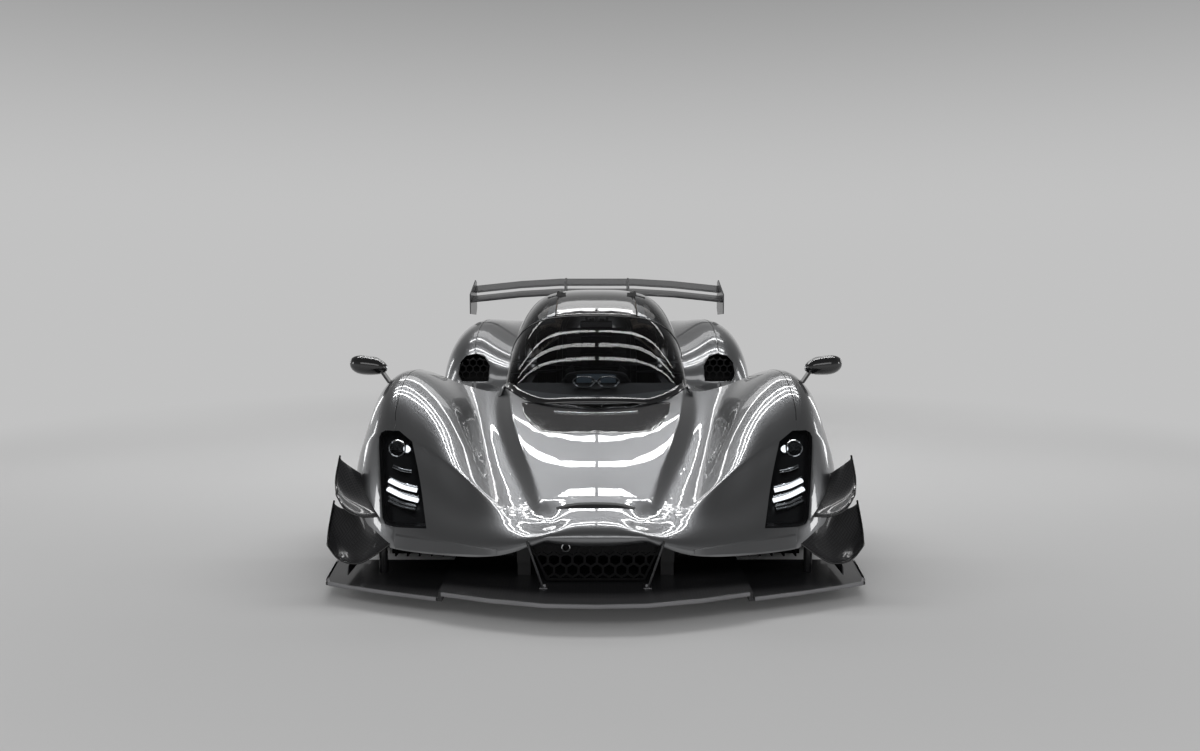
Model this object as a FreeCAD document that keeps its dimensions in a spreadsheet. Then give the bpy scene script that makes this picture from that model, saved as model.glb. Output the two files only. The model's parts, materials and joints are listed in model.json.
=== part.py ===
# Low two-seat hypercar: carbon tub, silver front clamshell and haunches, black teardrop canopy, splitter and wing.
# Millimetres. X to the side, -Y ahead, +Z up; the origin is on the ground under the middle of the car's length.
import FreeCAD
import Part
import math
import os

import Sketcher
from FreeCAD import Placement, Rotation, Vector

doc = FreeCAD.newDocument("hypercar")

# Driving dimensions: alias, size, what it is.
SIZES = [
    ("wheelbase", 2720, "front axle to rear axle"),
    ("front_overhang", 1120, "splitter edge to front axle"),
    ("rear_overhang", 960, "rear axle to diffuser edge"),
    ("half_track_front", 850, "car centre to front tyre centre"),
    ("half_track_rear", 845, "car centre to rear tyre centre"),
    ("tyre_radius_front", 346, "front tyre, outside"),
    ("tyre_width_front", 265, "front tyre"),
    ("rim_radius_front", 254, "front bead seat"),
    ("tyre_radius_rear", 364, "rear tyre, outside"),
    ("tyre_width_rear", 325, "rear tyre"),
    ("rim_radius_rear", 267, "rear bead seat"),
    ("arch_gap", 36, "tyre tread to wheel arch edge"),
    ("liner_gap_front", 46, "tyre tread to front liner, with room to steer"),
    ("liner_gap_rear", 32, "tyre tread to rear liner"),
    ("liner_wall", 4, "wheel arch liner"),
    ("skin", 10, "body panel thickness"),
    ("glass", 8, "glazing thickness"),
    ("seam", 0.4, "gap where fixed panels meet"),
    ("hood_edge", 16, "softness of the crease along the hood"),
    ("brow_edge", 24, "softness of the crease over the headlamps"),
    ("shut_gap", 7, "gap round a door"),
    ("lid_gap", 15, "roof to the front edge of the engine cover"),
    ("disc_radius", 190, "brake disc"),
    ("disc_width", 34, "brake disc"),
    ("pad_gap", 6, "disc to caliper"),
    ("hub_bore", 34, "wheel hub bore radius"),
    ("hub_clear", 0.3, "spindle to hub bore"),
    ("hub_radius", 72, "wheel hub"),
    ("spindle_reach", 60, "spindle past the disc"),
    ("kingpin_inset", 64, "tyre centre in to the steering axis"),
    ("ball_height", 150, "axle to each ball joint"),
    ("pin_radius", 12, "steering pins"),
    ("arm_radius", 13, "wishbone tube"),
    ("floor_height", 88, "ground to underside of the floor"),
    ("floor_wall", 12, "floor panel"),
    ("tub_half_width", 440, "tub at the sills"),
    ("tub_wall", 45, "sill and bulkhead thickness"),
    ("tub_floor", 35, "tub floor thickness"),
    ("sill_top", 580, "ground to top of the tub sills"),
    ("splitter_half_width", 1035, "splitter at its front corners"),
    ("splitter_wall", 12, "splitter blade"),
    ("splitter_height", 78, "ground to underside of the raised middle"),
    ("splitter_drop", 22, "how far its outer ends are lower"),
    ("wing_half_span", 965, "rear wing, centre to end plate"),
    ("wing_chord", 260, "main plane"),
    ("flap_chord", 120, "flap"),
    ("wing_height", 1085, "ground to main plane, at the middle"),
    ("wing_droop", 62, "how far its ends are lower"),
    ("pylon_spacing", 460, "between the wing pylons"),
    ("pylon_wall", 14, "pylon plate"),
    ("end_plate_wall", 8, "wing end plate"),
    ("engine_width", 520, "engine block"),
    ("engine_length", 620, "engine block"),
    ("engine_height", 430, "engine block"),
    ("mesh_cell", 46, "honeycomb pitch"),
    ("mesh_bar", 9, "honeycomb wall"),
    ("pipe_radius", 62, "exhaust pipe"),
    ("pipe_wall", 4, "exhaust pipe"),
    ("hinge_pin", 6, "door and lid hinge pins"),
    ("hinge_ring", 11, "ring round a hinge pin"),
    ("door_front", 630, "middle of the wheelbase forward to the front edge of the doors"),
    ("door_rear", 40, "middle of the wheelbase back to the rear edge of the doors"),
    ("cover_front", 270, "middle of the wheelbase back to the front edge of the engine cover"),
    ("cover_rear", 340, "rear axle back to the rear edge of the engine cover"),
    ("roof_half_width", 215, "roof strip between the doors"),
    ("frame_wall", 26, "door frame, behind its glass"),
    ("frame_face", 42, "door frame, seen width"),
    ("tub_front", 100, "front axle back to the tub's front bulkhead"),
    ("tub_rear", 440, "rear axle forward to the tub's rear bulkhead"),
]

sheet = doc.addObject("Spreadsheet::Sheet", "dims")
for row, (alias, size, meaning) in enumerate(SIZES, start=1):
    sheet.set(f"A{row}", meaning)
    sheet.set(f"B{row}", str(size))
    sheet.setAlias(f"B{row}", alias)
doc.recompute()


def dim(alias):
    """A driving dimension, read from the sheet."""
    return float(sheet.get(alias))


SKIN = dim("skin")
SEAM = dim("seam")
SHUT = dim("shut_gap")
NOSE_Y = -(dim("front_overhang") + dim("wheelbase") + dim("rear_overhang")) / 2
FRONT_AXLE = NOSE_Y + dim("front_overhang")
REAR_AXLE = FRONT_AXLE + dim("wheelbase")
TAIL_Y = REAR_AXLE + dim("rear_overhang")
MIDDLE_Y = (FRONT_AXLE + REAR_AXLE) / 2
FAR = 3000  # longer than any part, for cutting tools

# Front body by feature lines, from the car's centre outwards. Columns are control points (x, y from the front axle, z)
# at the lip, chin, nose, cheek, brow, slope, axle, shoulder and rear edge. The crease row and the brow column are sharp.
FRONT_LINES = {
    "centre": [(0, -866, 248), (0, -880, 275), (0, -856, 309), (0, -770, 337), (0, -640, 388),
               (0, -400, 480), (0, -160, 559), (0, 60, 624), (0, 200, 668)],
    "hood": [(110, -866, 247), (105, -880, 274), (98, -854, 307), (98, -770, 334), (105, -640, 386),
             (142, -400, 478), (188, -160, 557), (215, 60, 627), (225, 210, 676)],
    "crease": [(196, -864, 246), (190, -876, 266), (168, -840, 286), (155, -770, 300), (201, -645, 358),
               (273, -400, 447), (352, -160, 548), (397, 60, 644), (412, 265, 704)],
    "foot": [(262, -860, 222), (260, -868, 244), (250, -826, 268), (245, -750, 277), (285, -645, 308),
             (350, -400, 393), (424, -165, 484), (474, 60, 574), (486, 300, 668)],
    "floor": [(345, -856, 192), (350, -858, 218), (355, -815, 256), (362, -735, 290), (378, -640, 325),
              (428, -400, 402), (495, -170, 500), (548, 80, 600), (580, 325, 690)],
    "rise": [(448, -834, 180), (452, -834, 210), (452, -788, 254), (456, -700, 310), (470, -604, 396),
             (506, -405, 466), (552, -170, 562), (592, 85, 650), (640, 340, 705)],
    "slope": [(540, -808, 178), (546, -802, 208), (550, -750, 256), (556, -625, 330), (564, -546, 460),
              (600, -400, 530), (622, -170, 650), (645, 90, 702), (700, 360, 725)],
    "fall": [(670, -772, 178), (676, -764, 210), (684, -705, 280), (694, -520, 400), (704, -424, 532),
             (728, -320, 640), (746, -140, 768), (766, 110, 790), (795, 385, 765)],
    "crest": [(775, -740, 186), (781, -728, 222), (796, -655, 335), (816, -530, 490), (832, -440, 604),
              (852, -300, 738), (868, -80, 824), (873, 160, 820), (880, 415, 780)],
    "shoulder": [(868, -675, 187), (881, -662, 226), (900, -590, 345), (918, -480, 490), (930, -400, 588),
                 (946, -250, 694), (960, -60, 754), (958, 180, 748), (932, 445, 700)],
    "side": [(945, -595, 187), (960, -582, 228), (984, -524, 325), (1002, -420, 428), (1009, -350, 480),
             (1018, -200, 556), (1022, -40, 595), (1012, 200, 585), (968, 465, 550)],
    "flank": [(990, -510, 187), (1001, -485, 222), (1010, -440, 286), (1015, -370, 334), (1017, -310, 362),
              (1020, -180, 400), (1020, -30, 412), (1008, 210, 400), (955, 475, 380)],
    "bottom": [(1008, -460, 186), (1012, -440, 190), (1014, -405, 190), (1016, -360, 190), (1018, -300, 190),
               (1020, -180, 190), (1020, -30, 190), (1005, 215, 190), (950, 480, 190)],
}
CREASE = "crease"
BROW = 4  # column

# Rear body by feature lines, from the car's centre outwards. Columns are control points (x, y from the rear axle, z)
# at the lower front edge, intake face, brow, front slope, axle, rear slope and tail.
REAR_LINES = {
    "centre": [(0, -640, 500), (0, -655, 600), (0, -600, 690), (0, -380, 740),
               (0, 0, 800), (0, 380, 838), (0, 800, 864)],
    "middle": [(250, -640, 500), (250, -655, 600), (250, -600, 685), (240, -380, 735),
               (230, 0, 796), (210, 380, 835), (200, 800, 863)],
    "deck": [(455, -640, 520), (455, -655, 600), (450, -600, 680), (430, -380, 730),
             (400, 0, 790), (380, 380, 830), (370, 800, 862)],
    "inner": [(560, -645, 440), (560, -668, 540), (560, -610, 660), (550, -390, 735),
              (530, 0, 790), (510, 380, 826), (500, 800, 858)],
    "slope": [(680, -660, 400), (680, -690, 510), (680, -640, 680), (670, -420, 800),
              (650, 0, 870), (640, 380, 880), (640, 805, 870)],
    "crest": [(800, -670, 390), (800, -705, 500), (800, -665, 700), (800, -450, 870),
              (800, -20, 938), (790, 380, 922), (780, 805, 872)],
    "shoulder": [(930, -650, 390), (935, -680, 480), (940, -640, 640), (950, -460, 790),
                 (955, -20, 858), (945, 380, 850), (920, 800, 820)],
    "side": [(1010, -600, 385), (1018, -610, 450), (1022, -560, 560), (1026, -420, 650),
             (1030, -20, 700), (1020, 380, 700), (985, 790, 700)],
    "flank": [(1018, -560, 380), (1022, -560, 410), (1024, -520, 450), (1028, -380, 480),
              (1032, -20, 490), (1022, 380, 500), (990, 785, 520)],
    "bottom": [(1012, -540, 230), (1015, -530, 230), (1018, -500, 230), (1022, -360, 230),
               (1026, -20, 240), (1018, 380, 280), (985, 780, 340)],
}

# Canopy by stations along the car. Columns: where y is measured from, y, half width, top z, base z.
CANOPY_STATIONS = [
    (FRONT_AXLE, 95, 300, 655, 600),
    (FRONT_AXLE, 190, 430, 735, 655),
    (FRONT_AXLE, 420, 440, 900, 702),
    (MIDDLE_Y, -560, 447, 1075, 702),
    (MIDDLE_Y, -110, 450, 1152, 702),
    (MIDDLE_Y, 340, 445, 1146, 702),
    (REAR_AXLE, -600, 415, 1082, 690),
    (REAR_AXLE, -220, 330, 1000, 690),
    (REAR_AXLE, 130, 235, 925, 700),
    (REAR_AXLE, 430, 150, 865, 720),
]
# Canopy section: share of the half width, share of the height from the base.
CANOPY_SECTION = [(0, 1.0), (0.34, 1.0), (0.68, 0.94), (0.90, 0.72), (1.0, 0.42), (1.01, 0.18), (1.0, 0.0)]

# Side body by feature lines, from the canopy rail down to the floor.
# Columns are control points (x, y, z) at the front, door, rear and haunch; y is measured from SIDE_FROM.
SIDE_FROM = (FRONT_AXLE, MIDDLE_Y, MIDDLE_Y, REAR_AXLE)
SIDE_LINES = [
    [(450, 230, 702), (455, -460, 702), (455, 140, 702), (440, -600, 700)],
    [(468, 230, 640), (470, -460, 640), (470, 140, 645), (460, -600, 650)],
    [(520, 240, 545), (505, -460, 540), (510, 140, 548), (530, -600, 560)],
    [(640, 260, 480), (615, -460, 462), (620, 140, 475), (650, -600, 500)],
    [(790, 290, 440), (770, -460, 425), (790, 140, 440), (820, -600, 460)],
    [(915, 330, 390), (880, -460, 375), (920, 140, 395), (970, -600, 420)],
    [(940, 350, 320), (915, -460, 315), (950, 140, 325), (1005, -600, 340)],
    [(925, 350, 262), (905, -460, 262), (945, 140, 262), (1000, -600, 262)],
    [(860, 345, 225), (840, -460, 222), (860, 140, 222), (900, -600, 225)],
    [(870, 345, 103), (860, -460, 103), (870, 140, 103), (890, -600, 103)],
]


def net_from_lines(lines, axle):
    """Feature lines to rows of control points, in car coordinates."""
    return [[Vector(x, axle + y, z) for x, y, z in line] for line in lines.values()]


def sharpened(points, index, reach):
    """Control points with one more on each side of a sharp edge, this far away along the legs."""
    here = points[index]
    sides = []
    for other in (points[index - 1], points[index + 1]):
        way = other - here
        way.normalize()
        sides.append(here + way * reach)
    return points[:index] + [sides[0], here, sides[1]] + points[index + 1 :]


def sharpen_row(net, index, reach):
    """The same for a whole row of a net."""
    columns = [sharpened([line[j] for line in net], index, reach) for j in range(len(net[0]))]
    return [[column[i] for column in columns] for i in range(len(net) + 2)]


def mirror_net(net):
    return [[Vector(-p.x, p.y, p.z) for p in line] for line in reversed(net)]


def knots(count, degree):
    """Multiplicities and knots of a clamped uniform spline with this many poles."""
    spans = count - degree
    return [degree + 1] + [1] * (spans - 1) + [degree + 1], [i / spans for i in range(spans + 1)]


def spline_surface(net):
    rows, columns = len(net), len(net[0])
    across, along = min(3, rows - 1), min(3, columns - 1)
    across_mults, across_knots = knots(rows, across)
    along_mults, along_knots = knots(columns, along)
    surface = Part.BSplineSurface()
    surface.buildFromPolesMultsKnots(
        net, across_mults, along_mults, across_knots, along_knots, False, False, across, along
    )
    return surface


def greville(index, count, degree=3):
    """Where on a clamped uniform spline the pole with this index pulls hardest."""
    mults, values = knots(count, degree)
    flat = [value for mult, value in zip(mults, values) for _ in range(mult)]
    return sum(flat[index + 1 : index + 1 + degree]) / degree


def across_at(net, height, along=0.5):
    """How far across a net its surface passes this height, going down."""
    surface = spline_surface(net)
    low, high = 0.0, 1.0
    for _ in range(30):
        middle = (low + high) / 2
        if surface.value(middle, along).z > height:
            low = middle
        else:
            high = middle
    return low


def offset_net(net, depth):
    """Control points moved inwards, against the net's outward normal."""
    rows, columns = len(net), len(net[0])
    moved = []
    for i in range(rows):
        line = []
        for j in range(columns):
            across = net[min(i + 1, rows - 1)][j] - net[max(i - 1, 0)][j]
            along = net[i][min(j + 1, columns - 1)] - net[i][max(j - 1, 0)]
            normal = along.cross(across)
            normal.normalize()
            line.append(net[i][j] + normal * depth)
        moved.append(line)
    return moved


def bridge(outer, inner):
    """A solid between two surfaces with matching edges."""
    walls = []
    for edge in outer.Edges:
        partner = min(inner.Edges, key=lambda other: (other.CenterOfMass - edge.CenterOfMass).Length)
        walls.append(Part.makeRuledSurface(edge, partner))
    shell = Part.Shell([outer, inner] + walls)
    shell.sewShape()
    solid = Part.Solid(shell)
    if solid.Volume < 0:
        solid.reverse()
    return solid


def skin_solid(net, wall, start=0.0, across=(0.0, 1.0), along=(0.0, 1.0)):
    """A panel of this thickness under the net's surface, from a depth of start, cut to a part of the surface."""
    faces = []
    for depth in (start, start + wall):
        surface = spline_surface(offset_net(net, depth) if depth else net)
        surface.segment(across[0], across[1], along[0], along[1])
        faces.append(surface.toShape())
    return bridge(faces[0], faces[1])


def slab_above(net, depth, height):
    """Everything from just under a panel to well above it, to trim what is inside the body."""
    low = offset_net(net, depth)
    high = [[p + Vector(0, 0, height) for p in line] for line in low]
    return bridge(spline_surface(low).toShape(), spline_surface(high).toShape())


def slab_below(net, depth, height):
    """Everything from a panel's surface, sunk by depth, to well below it."""
    high = offset_net(net, depth)
    low = [[p - Vector(0, 0, height) for p in line] for line in high]
    return bridge(spline_surface(high).toShape(), spline_surface(low).toShape())


def height_at(net, x, y):
    """The height of a net's surface nearest to this place in plan."""
    surface = spline_surface(net)
    places = [surface.value(u / 160, v / 160) for u in range(161) for v in range(161)]
    return min(places, key=lambda p: math.hypot(p.x - x, p.y - y) - p.z * 1e-6).z


def prism(points, axis, start, length):
    """A straight prism from an outline of (a, b) points, along X, Y or Z."""
    place = {"X": lambda a, b: Vector(start, a, b), "Y": lambda a, b: Vector(a, start, b),
             "Z": lambda a, b: Vector(a, b, start)}[axis]
    wire = Part.makePolygon([place(a, b) for a, b in points] + [place(*points[0])])
    way = {"X": Vector(length, 0, 0), "Y": Vector(0, length, 0), "Z": Vector(0, 0, length)}[axis]
    return Part.Face(wire).extrude(way)


def flip(shape):
    return shape.mirror(Vector(0, 0, 0), Vector(1, 0, 0))


def both_sides(shape):
    return Part.makeCompound([shape, flip(shape)])


NODES = {}


def node(label, obj):
    """Registers an object of the document as a sub-part."""
    obj.Label = label
    NODES[label] = obj
    return obj


def feature(label, shape):
    """A sub-part whose shape is built from surfaces."""
    obj = doc.addObject("Part::Feature", label)
    obj.Shape = shape
    return node(label, obj)


def origin_plane(body, role):
    return next(f for f in body.Origin.OriginFeatures if f.Role == role)


def value_of(text):
    """A sum of aliases and numbers as one number, to place geometry before it is bound to the sheet."""
    total, sign, term = 0.0, 1.0, ""
    for part in text.replace("-", " - ").replace("+", " + ").split():
        if part in "+-":
            if term:
                total += sign * product(term)
            sign, term = (1.0 if part == "+" else -1.0), ""
        else:
            term += part
    return total + sign * product(term)


def product(term):
    result = 1.0
    for k, factor in enumerate(term.split("*")):
        over = factor.split("/")
        for m, piece in enumerate(over):
            number = dim(piece[5:]) if piece.startswith("dims.") else float(piece)
            result = result * number if m == 0 else result / number
    return result


def sketch(body, name, role, corners, height="0"):
    """A closed outline whose every corner is held by two expressions on the sheet."""
    outline = body.newObject("Sketcher::SketchObject", name)
    outline.AttachmentSupport = [(origin_plane(body, role), "")]
    outline.MapMode = "FlatFace"
    outline.AttachmentOffset = Placement(Vector(0, 0, value_of(height)), Rotation())
    if height != "0":
        outline.setExpression("AttachmentOffset.Base.z", height)
    places = [Vector(value_of(a), value_of(b), 0) for a, b in corners]
    count = len(corners)
    for i in range(count):
        outline.addGeometry(Part.LineSegment(places[i], places[(i + 1) % count]), False)
    for i in range(count):
        outline.addConstraint(Sketcher.Constraint("Coincident", i, 2, (i + 1) % count, 1))
    for i, (a, b) in enumerate(corners):
        for kind, text, at in (("DistanceX", a, places[i].x), ("DistanceY", b, places[i].y)):
            if abs(at) < 1e-9:
                lock = Sketcher.Constraint("PointOnObject", i, 1, -2 if kind == "DistanceX" else -1)
                outline.addConstraint(lock)
            else:
                held = outline.addConstraint(Sketcher.Constraint(kind, -1, 1, i, 1, at))
                outline.setExpression(f"Constraints[{held}]", text)
    return outline


def pad(body, name, corners, height, length, kind="PartDesign::Pad"):
    """An outline on the ground plane at this height, padded up or pocketed down by this length."""
    outline = sketch(body, name + "_outline", "XY_Plane", corners, height)
    step = body.newObject(kind, name)
    step.Profile = outline
    step.Length = value_of(length)
    step.setExpression("Length", length)
    return step


def rectangle(x, y0, y1):
    return [("0-" + x, y0), (x, y0), (x, y1), ("0-" + x, y1)]


def revolved_body(label, corners, place):
    """A body turned about X from an outline of (x, radius), centred on a wheel."""
    body = doc.addObject("PartDesign::Body", label)
    outline = sketch(body, label + "_profile", "XY_Plane", corners)
    turn = body.newObject("PartDesign::Revolution", label + "_turn")
    turn.Profile = outline
    turn.ReferenceAxis = (outline, ["H_Axis"])
    turn.Angle = 360
    body.Placement = place
    return body, turn


# Wheels. Each corner of the car: name, side (+1 left, -1 right), axle, half track, tyre radius, width, rim radius.
CORNERS = [
    ("front_left", 1, FRONT_AXLE, "half_track_front", "tyre_radius_front", "tyre_width_front", "rim_radius_front"),
    ("front_right", -1, FRONT_AXLE, "half_track_front", "tyre_radius_front", "tyre_width_front", "rim_radius_front"),
    ("rear_left", 1, REAR_AXLE, "half_track_rear", "tyre_radius_rear", "tyre_width_rear", "rim_radius_rear"),
    ("rear_right", -1, REAR_AXLE, "half_track_rear", "tyre_radius_rear", "tyre_width_rear", "rim_radius_rear"),
]


def wheel_place(side, axle, half_track, radius):
    """Wheel frame: X along the axle, outwards from the car on either side."""
    turn = Rotation(Vector(0, 0, 1), 0 if side > 0 else 180)
    return Placement(Vector(side * dim(half_track), axle, dim(radius)), turn)


def tyre(name, place, radius, width, rim):
    """Tyre section with rounded shoulders and a bead on each side of the rim."""
    r, w, b = f"dims.{radius}", f"dims.{width}", f"dims.{rim}"
    half = w + "/2"
    corners = [
        (half + "-16", b), (half + "-4", b + "+22"), (half, b + "+52"), (half + "-7", r + "-22"),
        (half + "-24", r + "-6"), (half + "-62", r), ("62-" + half, r), ("24-" + half, r + "-6"),
        ("7-" + half, r + "-22"), ("0-" + half, b + "+52"), ("4-" + half, b + "+22"), ("16-" + half, b),
    ]
    body, _ = revolved_body("tyre_" + name, corners, place)
    node("tyre_" + name, body)


SPOKES = 10


def rim(name, place, width, rim_radius):
    """Barrel, centre-lock hub and a ring of forked spokes, one turned from the next."""
    half = dim(width) / 2 - 16
    outer = dim(rim_radius) - SEAM
    lip = 18
    barrel_wall = 9
    profile = [
        (-half, outer - lip - 6), (-half, outer), (half, outer), (half, outer - lip), (half - 10, outer - lip - 8),
        (half - 26, outer - barrel_wall - 14), (half - 60, outer - barrel_wall - 22),
        (-half + 40, outer - barrel_wall - 10), (-half + 12, outer - barrel_wall - 4),
    ]
    points = [Vector(x, r, 0) for x, r in profile]
    barrel = Part.Face(Part.makePolygon(points + points[:1])).revolve(Vector(), Vector(1, 0, 0), 360)
    face_x = half - 46
    hub_back = dim("disc_width") / 2 + hub_offset(width)
    hub = Part.makeCylinder(dim("hub_radius"), face_x - hub_back, Vector(hub_back, 0, 0), Vector(1, 0, 0))
    nut = Part.makeCone(40, 30, 26, Vector(face_x, 0, 0), Vector(1, 0, 0))
    inner, middle, reach = dim("hub_radius") - 12, 150, outer - barrel_wall - 12
    spokes = []
    for k in range(SPOKES):
        stem = Part.makePolygon([Vector(face_x - 16, -11, inner), Vector(face_x - 16, 11, inner),
                                 Vector(face_x - 4, 9, middle), Vector(face_x - 4, -9, middle),
                                 Vector(face_x - 16, -11, inner)])
        fork_left = [(-9, middle - 6), (2, middle - 6), (34, reach), (20, reach)]
        pieces = [Part.Face(stem).extrude(Vector(-24, 0, 0))]
        for way in (1, -1):
            fork = [Vector(face_x - 4, way * y, z) for y, z in fork_left]
            pieces.append(Part.Face(Part.makePolygon(fork + fork[:1])).extrude(Vector(-24, 0, 0)))
        spoke = pieces[0].multiFuse(pieces[1:])
        spoke.rotate(Vector(), Vector(1, 0, 0), 360.0 * k / SPOKES)
        spokes.append(spoke)
    solid = barrel.multiFuse([hub, nut] + spokes)
    bore = Part.makeCylinder(dim("hub_bore"), FAR, Vector(face_x - 30 - FAR, 0, 0), Vector(1, 0, 0))
    solid = solid.cut(bore).removeSplitter()
    obj = feature("rim_" + name, solid)
    obj.Placement = place


def hub_offset(width):
    """Brake disc centre, outboard of the tyre centre, with room for the caliper behind the spokes."""
    return dim(width) / 2 - 146.5


def brake_disc(name, place, width):
    """Vented disc with its bell, carried on the back of the wheel hub."""
    centre = hub_offset(width)
    half = dim("disc_width") / 2
    x0, x1 = centre - half, centre + half
    radius, bell = dim("disc_radius"), dim("hub_radius") + 18
    ring = Part.makeCylinder(radius, 2 * half, Vector(x0, 0, 0), Vector(1, 0, 0))
    ring = ring.cut(Part.makeCylinder(bell + 30, 12, Vector(x0, 0, 0), Vector(1, 0, 0)))
    vents = Part.makeCylinder(radius + 1, 10, Vector(centre - 5, 0, 0), Vector(1, 0, 0)).cut(
        Part.makeCylinder(radius - 26, 10, Vector(centre - 5, 0, 0), Vector(1, 0, 0)))
    ring = ring.cut(vents)
    ring = ring.cut(Part.makeCylinder(dim("hub_bore"), FAR, Vector(x0 - 1, 0, 0), Vector(1, 0, 0)))
    obj = feature("disc_" + name, ring)
    obj.Placement = place


def upright(side, axle, half_track, radius, width, kingpin):
    """Knuckle: spindle through the hub, boss, ball-joint pins and a caliper that straddles the disc."""
    centre = hub_offset(width)
    half = dim("disc_width") / 2
    clear = dim("hub_clear")
    face_x = dim(width) / 2 - 16 - 46
    back = centre - half - 8
    spindle = Part.makeCylinder(dim("hub_bore") - clear, face_x - 30 - clear - back + 30,
                                Vector(back - 30, 0, 0), Vector(1, 0, 0))
    boss = Part.makeCylinder(62, back - kingpin, Vector(kingpin, 0, 0), Vector(1, 0, 0))
    height = dim("ball_height")
    post = Part.makeBox(36, 60, 2 * height - 44, Vector(kingpin - 18, -30, -height + 22))
    pins = Part.makeCylinder(dim("pin_radius"), 2 * height + 36, Vector(kingpin, 0, -height - 18), Vector(0, 0, 1))
    body = spindle.multiFuse([boss, post, pins])
    gap = dim("pad_gap")
    disc_room = Part.makeCylinder(dim("disc_radius") + gap, 2 * (half + gap), Vector(centre - half - gap, 0, 0),
                                  Vector(1, 0, 0))
    arc = Part.makeCylinder(dim("disc_radius") + 18, 2 * half + 50, Vector(centre - half - 28, 0, 0), Vector(1, 0, 0))
    arc = arc.cut(Part.makeCylinder(dim("disc_radius") - 62, FAR, Vector(-FAR / 2, 0, 0), Vector(1, 0, 0)))
    wedge = prism([(60, -70), (400, -190), (400, 190), (60, 70)], "X", -300, 600)
    caliper = arc.common(wedge).cut(disc_room)
    bracket = Part.makeBox(centre - half - 6 - gap - kingpin, 130, 40, Vector(kingpin, 20, -20))
    return body.multiFuse([bracket, caliper]).removeSplitter()


for name, side, axle, half_track, radius, width, rim_radius in CORNERS:
    place = wheel_place(side, axle, half_track, radius)
    tyre(name, place, radius, width, rim_radius)
    rim(name, place, width, rim_radius)
    brake_disc(name, place, width)

for name, side, axle, half_track, radius, width, rim_radius in CORNERS[:2]:
    obj = feature("upright_" + name, upright(side, axle, half_track, radius, width, -dim("kingpin_inset")))
    obj.Placement = wheel_place(side, axle, half_track, radius)

pair = []
for name, side, axle, half_track, radius, width, rim_radius in CORNERS[2:]:
    shape = upright(side, axle, half_track, radius, width, -dim("kingpin_inset") - 40)
    shape.Placement = wheel_place(side, axle, half_track, radius)
    pair.append(shape)
feature("uprights_rear", Part.makeCompound(pair))

# Structure
TUB_FRONT = "dims.front_overhang/2-dims.wheelbase/2-dims.rear_overhang/2+dims.tub_front"
TUB_REAR = "dims.front_overhang/2+dims.wheelbase/2-dims.rear_overhang/2-dims.tub_rear"
NOSE = "0-dims.front_overhang/2-dims.wheelbase/2-dims.rear_overhang/2"
AXLE = "dims.front_overhang/2-dims.wheelbase/2-dims.rear_overhang/2"
REAR = "dims.front_overhang/2+dims.wheelbase/2-dims.rear_overhang/2"
FLOOR_TOP = "dims.floor_height+dims.floor_wall"

tub = doc.addObject("PartDesign::Body", "tub")
pad(tub, "tub_box", rectangle("dims.tub_half_width", TUB_FRONT, TUB_REAR), FLOOR_TOP,
    "dims.sill_top-dims.floor_height-dims.floor_wall")
inside = [("dims.tub_wall-dims.tub_half_width", TUB_FRONT + "+dims.tub_wall"),
          ("dims.tub_half_width-dims.tub_wall", TUB_FRONT + "+dims.tub_wall"),
          ("dims.tub_half_width-dims.tub_wall", TUB_REAR + "-dims.tub_wall"),
          ("dims.tub_wall-dims.tub_half_width", TUB_REAR + "-dims.tub_wall")]
pad(tub, "tub_cabin", inside, "dims.sill_top", "dims.sill_top-dims.floor_height-dims.floor_wall-dims.tub_floor",
    "PartDesign::Pocket")
node("tub", tub)

floor = doc.addObject("PartDesign::Body", "floor_pan")
floor_half = [("540", AXLE + "-469.6"), ("540", AXLE + "+400"), ("870", AXLE + "+410"), ("890", REAR + "-410"),
              ("640", REAR + "-405"), ("640", REAR + "+330")]
floor_outline = floor_half + [("0-" + x, y) for x, y in reversed(floor_half)]
pad(floor, "floor_plate", floor_outline, "dims.floor_height", "dims.floor_wall")
node("floor_pan", floor)

engine = doc.addObject("Part::Box", "engine_block")
engine.setExpression("Length", "dims.engine_width")
engine.setExpression("Width", "dims.engine_length")
engine.setExpression("Height", "dims.engine_height")
engine.setExpression("Placement.Base.x", "-dims.engine_width/2")
engine.setExpression("Placement.Base.y", TUB_REAR)
engine.setExpression("Placement.Base.z", FLOOR_TOP)
node("engine_block", engine)

splitter = doc.addObject("PartDesign::Body", "splitter")
middle_half = [("180", NOSE + "+10"), ("384", NOSE + "+66"), ("573", NOSE + "+148"), ("573", AXLE + "-470")]
middle = [("0-" + x, y) for x, y in reversed(middle_half)] + [("0", NOSE)] + middle_half
pad(splitter, "splitter_middle", middle, "dims.splitter_height", "dims.splitter_wall")
for way, name in (("", "left"), ("0-", "right")):
    web = [("559", NOSE + "+142"), ("573", NOSE + "+148"), ("573", AXLE + "-470"), ("559", AXLE + "-470")]
    pad(splitter, "web_" + name, [(way + x, y) for x, y in web], "dims.splitter_height-dims.splitter_drop",
        "dims.splitter_wall+dims.splitter_drop")
    blade = [("560", NOSE + "+142"), ("770", NOSE + "+222"), ("960", NOSE + "+306"),
             ("dims.splitter_half_width", NOSE + "+345"), ("dims.splitter_half_width+28", AXLE + "-470"),
             ("560", AXLE + "-470")]
    side = [(x, y) for x, y in blade]
    if way:
        side = [("0-" + x.replace("+", "-"), y) for x, y in blade]
    pad(splitter, "blade_" + name, side, "dims.splitter_height-dims.splitter_drop", "dims.splitter_wall")
node("splitter", splitter)

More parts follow.
